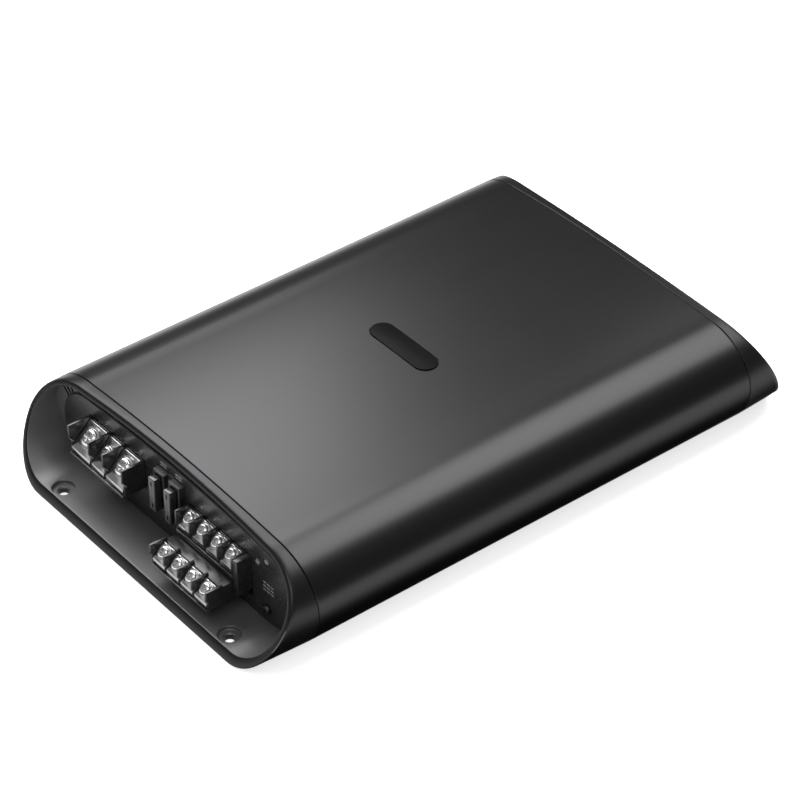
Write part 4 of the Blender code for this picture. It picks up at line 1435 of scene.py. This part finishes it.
@dataclass
class InputEnd:
    """Phono jacks, level knobs and slide switches behind the far cap."""

    jacks: int = 4
    knobs: int = 3
    switches: int = 2
    travel: float = 3.0 * MM
    jack_hole: float = 9.8 * MM
    knob_hole: float = 5.4 * MM
    knob_radius: float = 3.5 * MM
    ridges: int = 28
    ticks: int = 11
    tick_ring: float = 5.2 * MM

    def build(self) -> None:
        """Makes the panel and everything in it."""
        jacks, knobs = numbered("rca_jack", self.jacks), numbered("level_knob", self.knobs)
        switches = numbered("slide_switch", self.switches)
        for number, (node, box) in enumerate(jacks):
            self.jack(node, box.centre, (INSULATOR_RED, INSULATOR_WHITE)[number % 2])
        for node, box in knobs:
            self.knob(node, box.centre)
        for node, box in switches:
            self.switch(node, box)
        holes = [(box.centre.x, box.centre.z, self.jack_hole) for _, box in jacks]
        holes += [(box.centre.x, box.centre.z, self.knob_hole) for _, box in knobs]
        middles = [(box.centre.x + self.travel / 2, box.centre.z) for _, box in switches]
        windows = [(about(x, 3.1 * MM), about(z, 1.8 * MM)) for x, z in middles]
        EndPanel(End.INPUTS, windows, holes).build()
        self.marks(knobs, switches, jacks)

    def jack(self, node: str, centre: Vector, colour: Finish) -> None:
        """A phono jack: a flanged barrel round a coloured insulator.

        Args:
            node: its CAD node.
            centre: the middle of that node.
            colour: the insulator's finish.
        """
        where = facing(centre.x, FACE, centre.z, (0, 1, 0))
        profile = mm(
            (-6.0, 1.7), (-6.0, 4.6), (0.3, 4.6), (0.3, 5.9), (0.4, 6.0), (1.7, 6.0), (1.9, 5.8), (1.9, 4.3),
            (2.1, 4.15), (8.9, 4.15), (9.5, 3.6), (9.5, 3.3), (8.8, 3.2), (8.6, 3.2), (8.6, 1.7),
        )
        publish(move(lathe(f"{node}_barrel", profile, 48, True), where), NICKEL, "nickel", node)
        profile = mm((8.6, 1.75), (8.6, 3.15), (9.1, 3.15), (9.2, 2.9), (9.2, 1.75))
        publish(move(lathe(f"{node}_insulator", profile, 40, True), where), colour, "black_plastic")

    def knob(self, node: str, centre: Vector) -> None:
        """A small knob with ridges round it and a screwdriver slot that marks its setting.

        Args:
            node: its CAD node and body.
            centre: the middle of that node.
        """
        radius = self.knob_radius
        profile = mm(
            (-8.0, 0.0), (-8.0, 2.3), (-7.9, 2.4), (0.3, 2.4), (0.3, 3.4), (0.4, 3.5), (3.4, 3.5),
            (3.85, 3.25), (4.0, 2.9), (4.0, 0.0),
        )
        knob = lathe("knob", profile, 48)
        carve(knob, brick("slot", about(0.0, 0.5 * MM), (-0.3 * MM, radius + MM), (2.8 * MM, 5.0 * MM)))
        thin = about(0.0, 0.12 * MM)
        ridge = soften(brick("ridge", thin, thin, (0.7 * MM, 3.2 * MM)), 0.05 * MM, 1)
        spots = [(x, y) for x, y in circle(radius - 0.05 * MM, self.ridges) if abs(x) >= 0.7 * MM or y <= 0]
        turns = [(0.0, 0.0, math.atan2(y, x)) for x, y in spots]
        ridges = REPEAT.stand("ridges", ridge, [(x, y, 0.0) for x, y in spots], KNOB_BLACK, turns)
        whole = move(gather(f"{node}_grip", knob, ridges), facing(centre.x, FACE, centre.z, (0, 1, 0)))
        publish(whole, KNOB_BLACK, "black_plastic", node, body=node)

    def switch(self, node: str, box: Box) -> None:
        """A slide switch's actuator, with grip ribs on its tab.

        Args:
            node: its CAD node and body.
            box: the box of that node.
        """
        (x, _, z), top = box.centre, box.high.y - 0.25 * MM
        foot = brick("foot", box.span(0), (box.low.y, FACE - 2.3 * MM), box.span(2))
        tab = brick("tab", about(x, 1.3 * MM), (FACE - 3 * MM, top), about(z, 1.5 * MM))
        rib = brick("rib", about(0.0, 0.2 * MM), (-0.1 * MM, 0.25 * MM), about(0.0, 1.3 * MM))
        places = [(x + shift, top, z) for shift in (-0.8 * MM, 0.0, 0.8 * MM)]
        ribs = REPEAT.stand("ribs", soften(rib, 0.08 * MM), places, NYLON)
        actuator = gather(f"{node}_actuator", soften(foot, 0.15 * MM), soften(tab, 0.15 * MM), ribs)
        publish(actuator, NYLON, "switch_plastic", node, body=node)

    def marks(self, knobs: Nodes, switches: Nodes, jacks: Nodes) -> None:
        """Ticks round each knob, a dash below each switch position and one above each jack.

        Args:
            knobs: the knobs' nodes and boxes.
            switches: the switches' nodes and boxes.
            jacks: the jacks' nodes and boxes.
        """
        spots, ring = [], self.tick_ring
        angles = [math.radians(-135 + 270 / (self.ticks - 1) * step) for step in range(self.ticks)]
        for centre in (box.centre for _, box in knobs):
            for angle in angles:
                x, z = centre.x + ring * math.sin(angle), centre.z + ring * math.cos(angle)
                spots.append((x, z, angle - math.pi / 2))
        for centre in (box.centre for _, box in switches):
            spots += [(centre.x + shift, centre.z - 3.4 * MM, 0.0) for shift in (0.0, self.travel)]
        spots += [(box.centre.x, box.centre.z + 8.2 * MM, 0.0) for _, box in jacks]
        along = FACE - 0.1 * MM, FACE + 0.04 * MM
        tick = brick("tick", about(0.0, 0.55 * MM), along, about(0.0, 0.14 * MM))
        places, turns = [(x, 0.0, z) for x, z, _ in spots], [(0.0, turn, 0.0) for _, _, turn in spots]
        publish(REPEAT.stand("input_marks", tick, places, PRINT, turns), PRINT, "panel_black")


# ---------------------------------------------------------------- inside


@dataclass
class Innards:
    """The board and the large parts on it, which keep their CAD shapes."""

    capacitors: int = 4
    chokes: int = 2
    toroid_turns: float = 70.0
    choke_turns: float = 26.0

    def build(self) -> None:
        """Gives each node its finish."""
        self.dress("circuit_board", BOARD_GREEN)
        for number, (node, box) in enumerate(numbered("capacitor", self.capacitors), start=1):
            bare, stripe = box.high.y - 1.0 * MM, box.high.z - 2.0 * MM
            self.dress(node, Sleeved(f"capacitor_film_{number}", (0.012, 0.014, 0.05), 0.28, bare, stripe))
        rings = [("power_toroid", Box.of("power_toroid"), self.toroid_turns)]
        rings += [(node, box, self.choke_turns) for node, box in numbered("output_choke", self.chokes)]
        for node, box, turns in rings:
            middle = box.centre.x, box.centre.y
            self.dress(node, Wound(f"{node}_wire", (0.62, 0.25, 0.09), 0.28, middle, turns))
        for node in ("heat_bar_left", "heat_bar_right"):
            self.dress(node, BAR_METAL)

    def dress(self, node: str, finish: Finish) -> None:
        """Puts a finish on a CAD node.

        Args:
            node: the node.
            finish: what it is made of.
        """
        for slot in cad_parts[node].material_slots:
            slot.material = finish.material()
        LOG.info("%s: CAD shape, %s", node, finish.label)


# ---------------------------------------------------------------- studio


@dataclass(frozen=True)
class Softbox:
    """A rectangular light that shines at a point."""

    name: str
    where: Point
    target: Point
    size: Flat
    power: float

    def hang(self) -> None:
        """Makes the light."""
        light = bpy.data.lights.new(self.name, "AREA")
        light.shape, light.size, light.size_y, light.energy = "RECTANGLE", *self.size, self.power
        lamp = new_object(self.name, light)
        lamp.location = self.where
        lamp.visible_camera = False
        lamp.rotation_mode = "QUATERNION"
        lamp.rotation_quaternion = (Vector(self.target) - Vector(self.where)).to_track_quat("-Z", "Y")


@dataclass
class Studio:
    """Floor, world, softboxes and camera."""

    camera_at: Point = (1.00004, -0.79092, 1.01406)
    right: Point = (0.62257, 0.78254, -0.00578)
    up: Point = (-0.47717, 0.38546, 0.78977)
    back: Point = (0.62025, -0.48893, 0.61338)
    lens: float = 146.8
    softboxes: tuple[Softbox, ...] = (
        Softbox("key", (-0.51, -0.05, 0.62), (0.02, -0.12, 0.03), (0.80, 0.42), 6.8),
        Softbox("overhead", (-0.04, 0.65, 1.25), (0.0, 0.0, 0.0), (0.9, 1.1), 14.5),
        Softbox("terminals", (-0.50, -0.95, 0.62), (0.0, -0.15, 0.03), (0.2, 0.5), 0.12),
        Softbox("camera_side", (0.80, -0.55, 1.0), (0.0, 0.0, 0.03), (0.6, 0.6), 3.2),
        Softbox("inputs", (-0.40, 1.15, 0.50), (0.0, 0.15, 0.03), (0.5, 0.4), 1.2),
        Softbox("front", (0.25, -0.9, 1.2), (0.0, -0.12, 0.02), (0.5, 0.4), 2.5),
    )
    sky: tuple[Flat, ...] = (
        (0.0, 0.01), (0.12, 0.01), (0.22, 1.2), (0.42, 1.7), (0.49, 0.3), (0.62, 0.2), (1.0, 0.25),
    )

    def build(self) -> None:
        """Makes the whole studio."""
        self.camera()
        self.floor()
        self.world()
        for softbox in self.softboxes:
            softbox.hang()
        settings = bpy.context.scene.view_settings
        settings.view_transform, settings.look = "Standard", "None"

    def camera(self) -> None:
        """A long lens, high at the terminal corner."""
        data = bpy.data.cameras.new("camera")
        data.lens, data.sensor_width, data.clip_start, data.clip_end = self.lens, 36.0, 0.05, 50.0
        camera = new_object("camera", data)
        camera.rotation_mode = "QUATERNION"
        camera.rotation_quaternion = Matrix((self.right, self.up, self.back)).transposed().to_quaternion()
        camera.location = self.camera_at
        bpy.context.scene.camera = camera

    def floor(self) -> None:
        """A white floor that the amplifier lies on."""
        floor = brick("studio_floor", about(0.0, 6.0), about(0.0, 6.0), (-0.02, -0.0002))
        floor.data.materials.append(FLOOR_WHITE.material())
        floor.visible_glossy = False

    def world(self) -> None:
        """A dim room with a bright band just below the horizon, which the sides mirror."""
        world = bpy.data.worlds.new("room")
        world.use_nodes = True
        bpy.context.scene.world = world
        graph = Graph(world.node_tree, "OutputWorld")
        height = graph.axis(2, graph.node("TexCoord", output="Generated")) * 0.5 + 0.5
        stops = [(place, (light,) * 3) for place, light in self.sky]
        colour = graph.node("ValToRGB", {0: height}, stops=stops)
        light = graph.node("Background", {"Color": colour, "Strength": 1.0})
        graph.tree.links.new(light.socket, graph.end.inputs["Surface"])


def main() -> None:
    """Builds every sub-assembly in order."""
    logging.basicConfig(level=logging.INFO, format="%(name)s: %(message)s")
    caps = EndCap(End.TERMINALS), EndCap(End.INPUTS)
    for assembly in (Studio(), Sleeve(), *caps, TerminalEnd(), InputEnd(), Innards()):
        LOG.info("building %s", type(assembly).__name__)
        assembly.build()


if __name__ == "__main__":
    main()
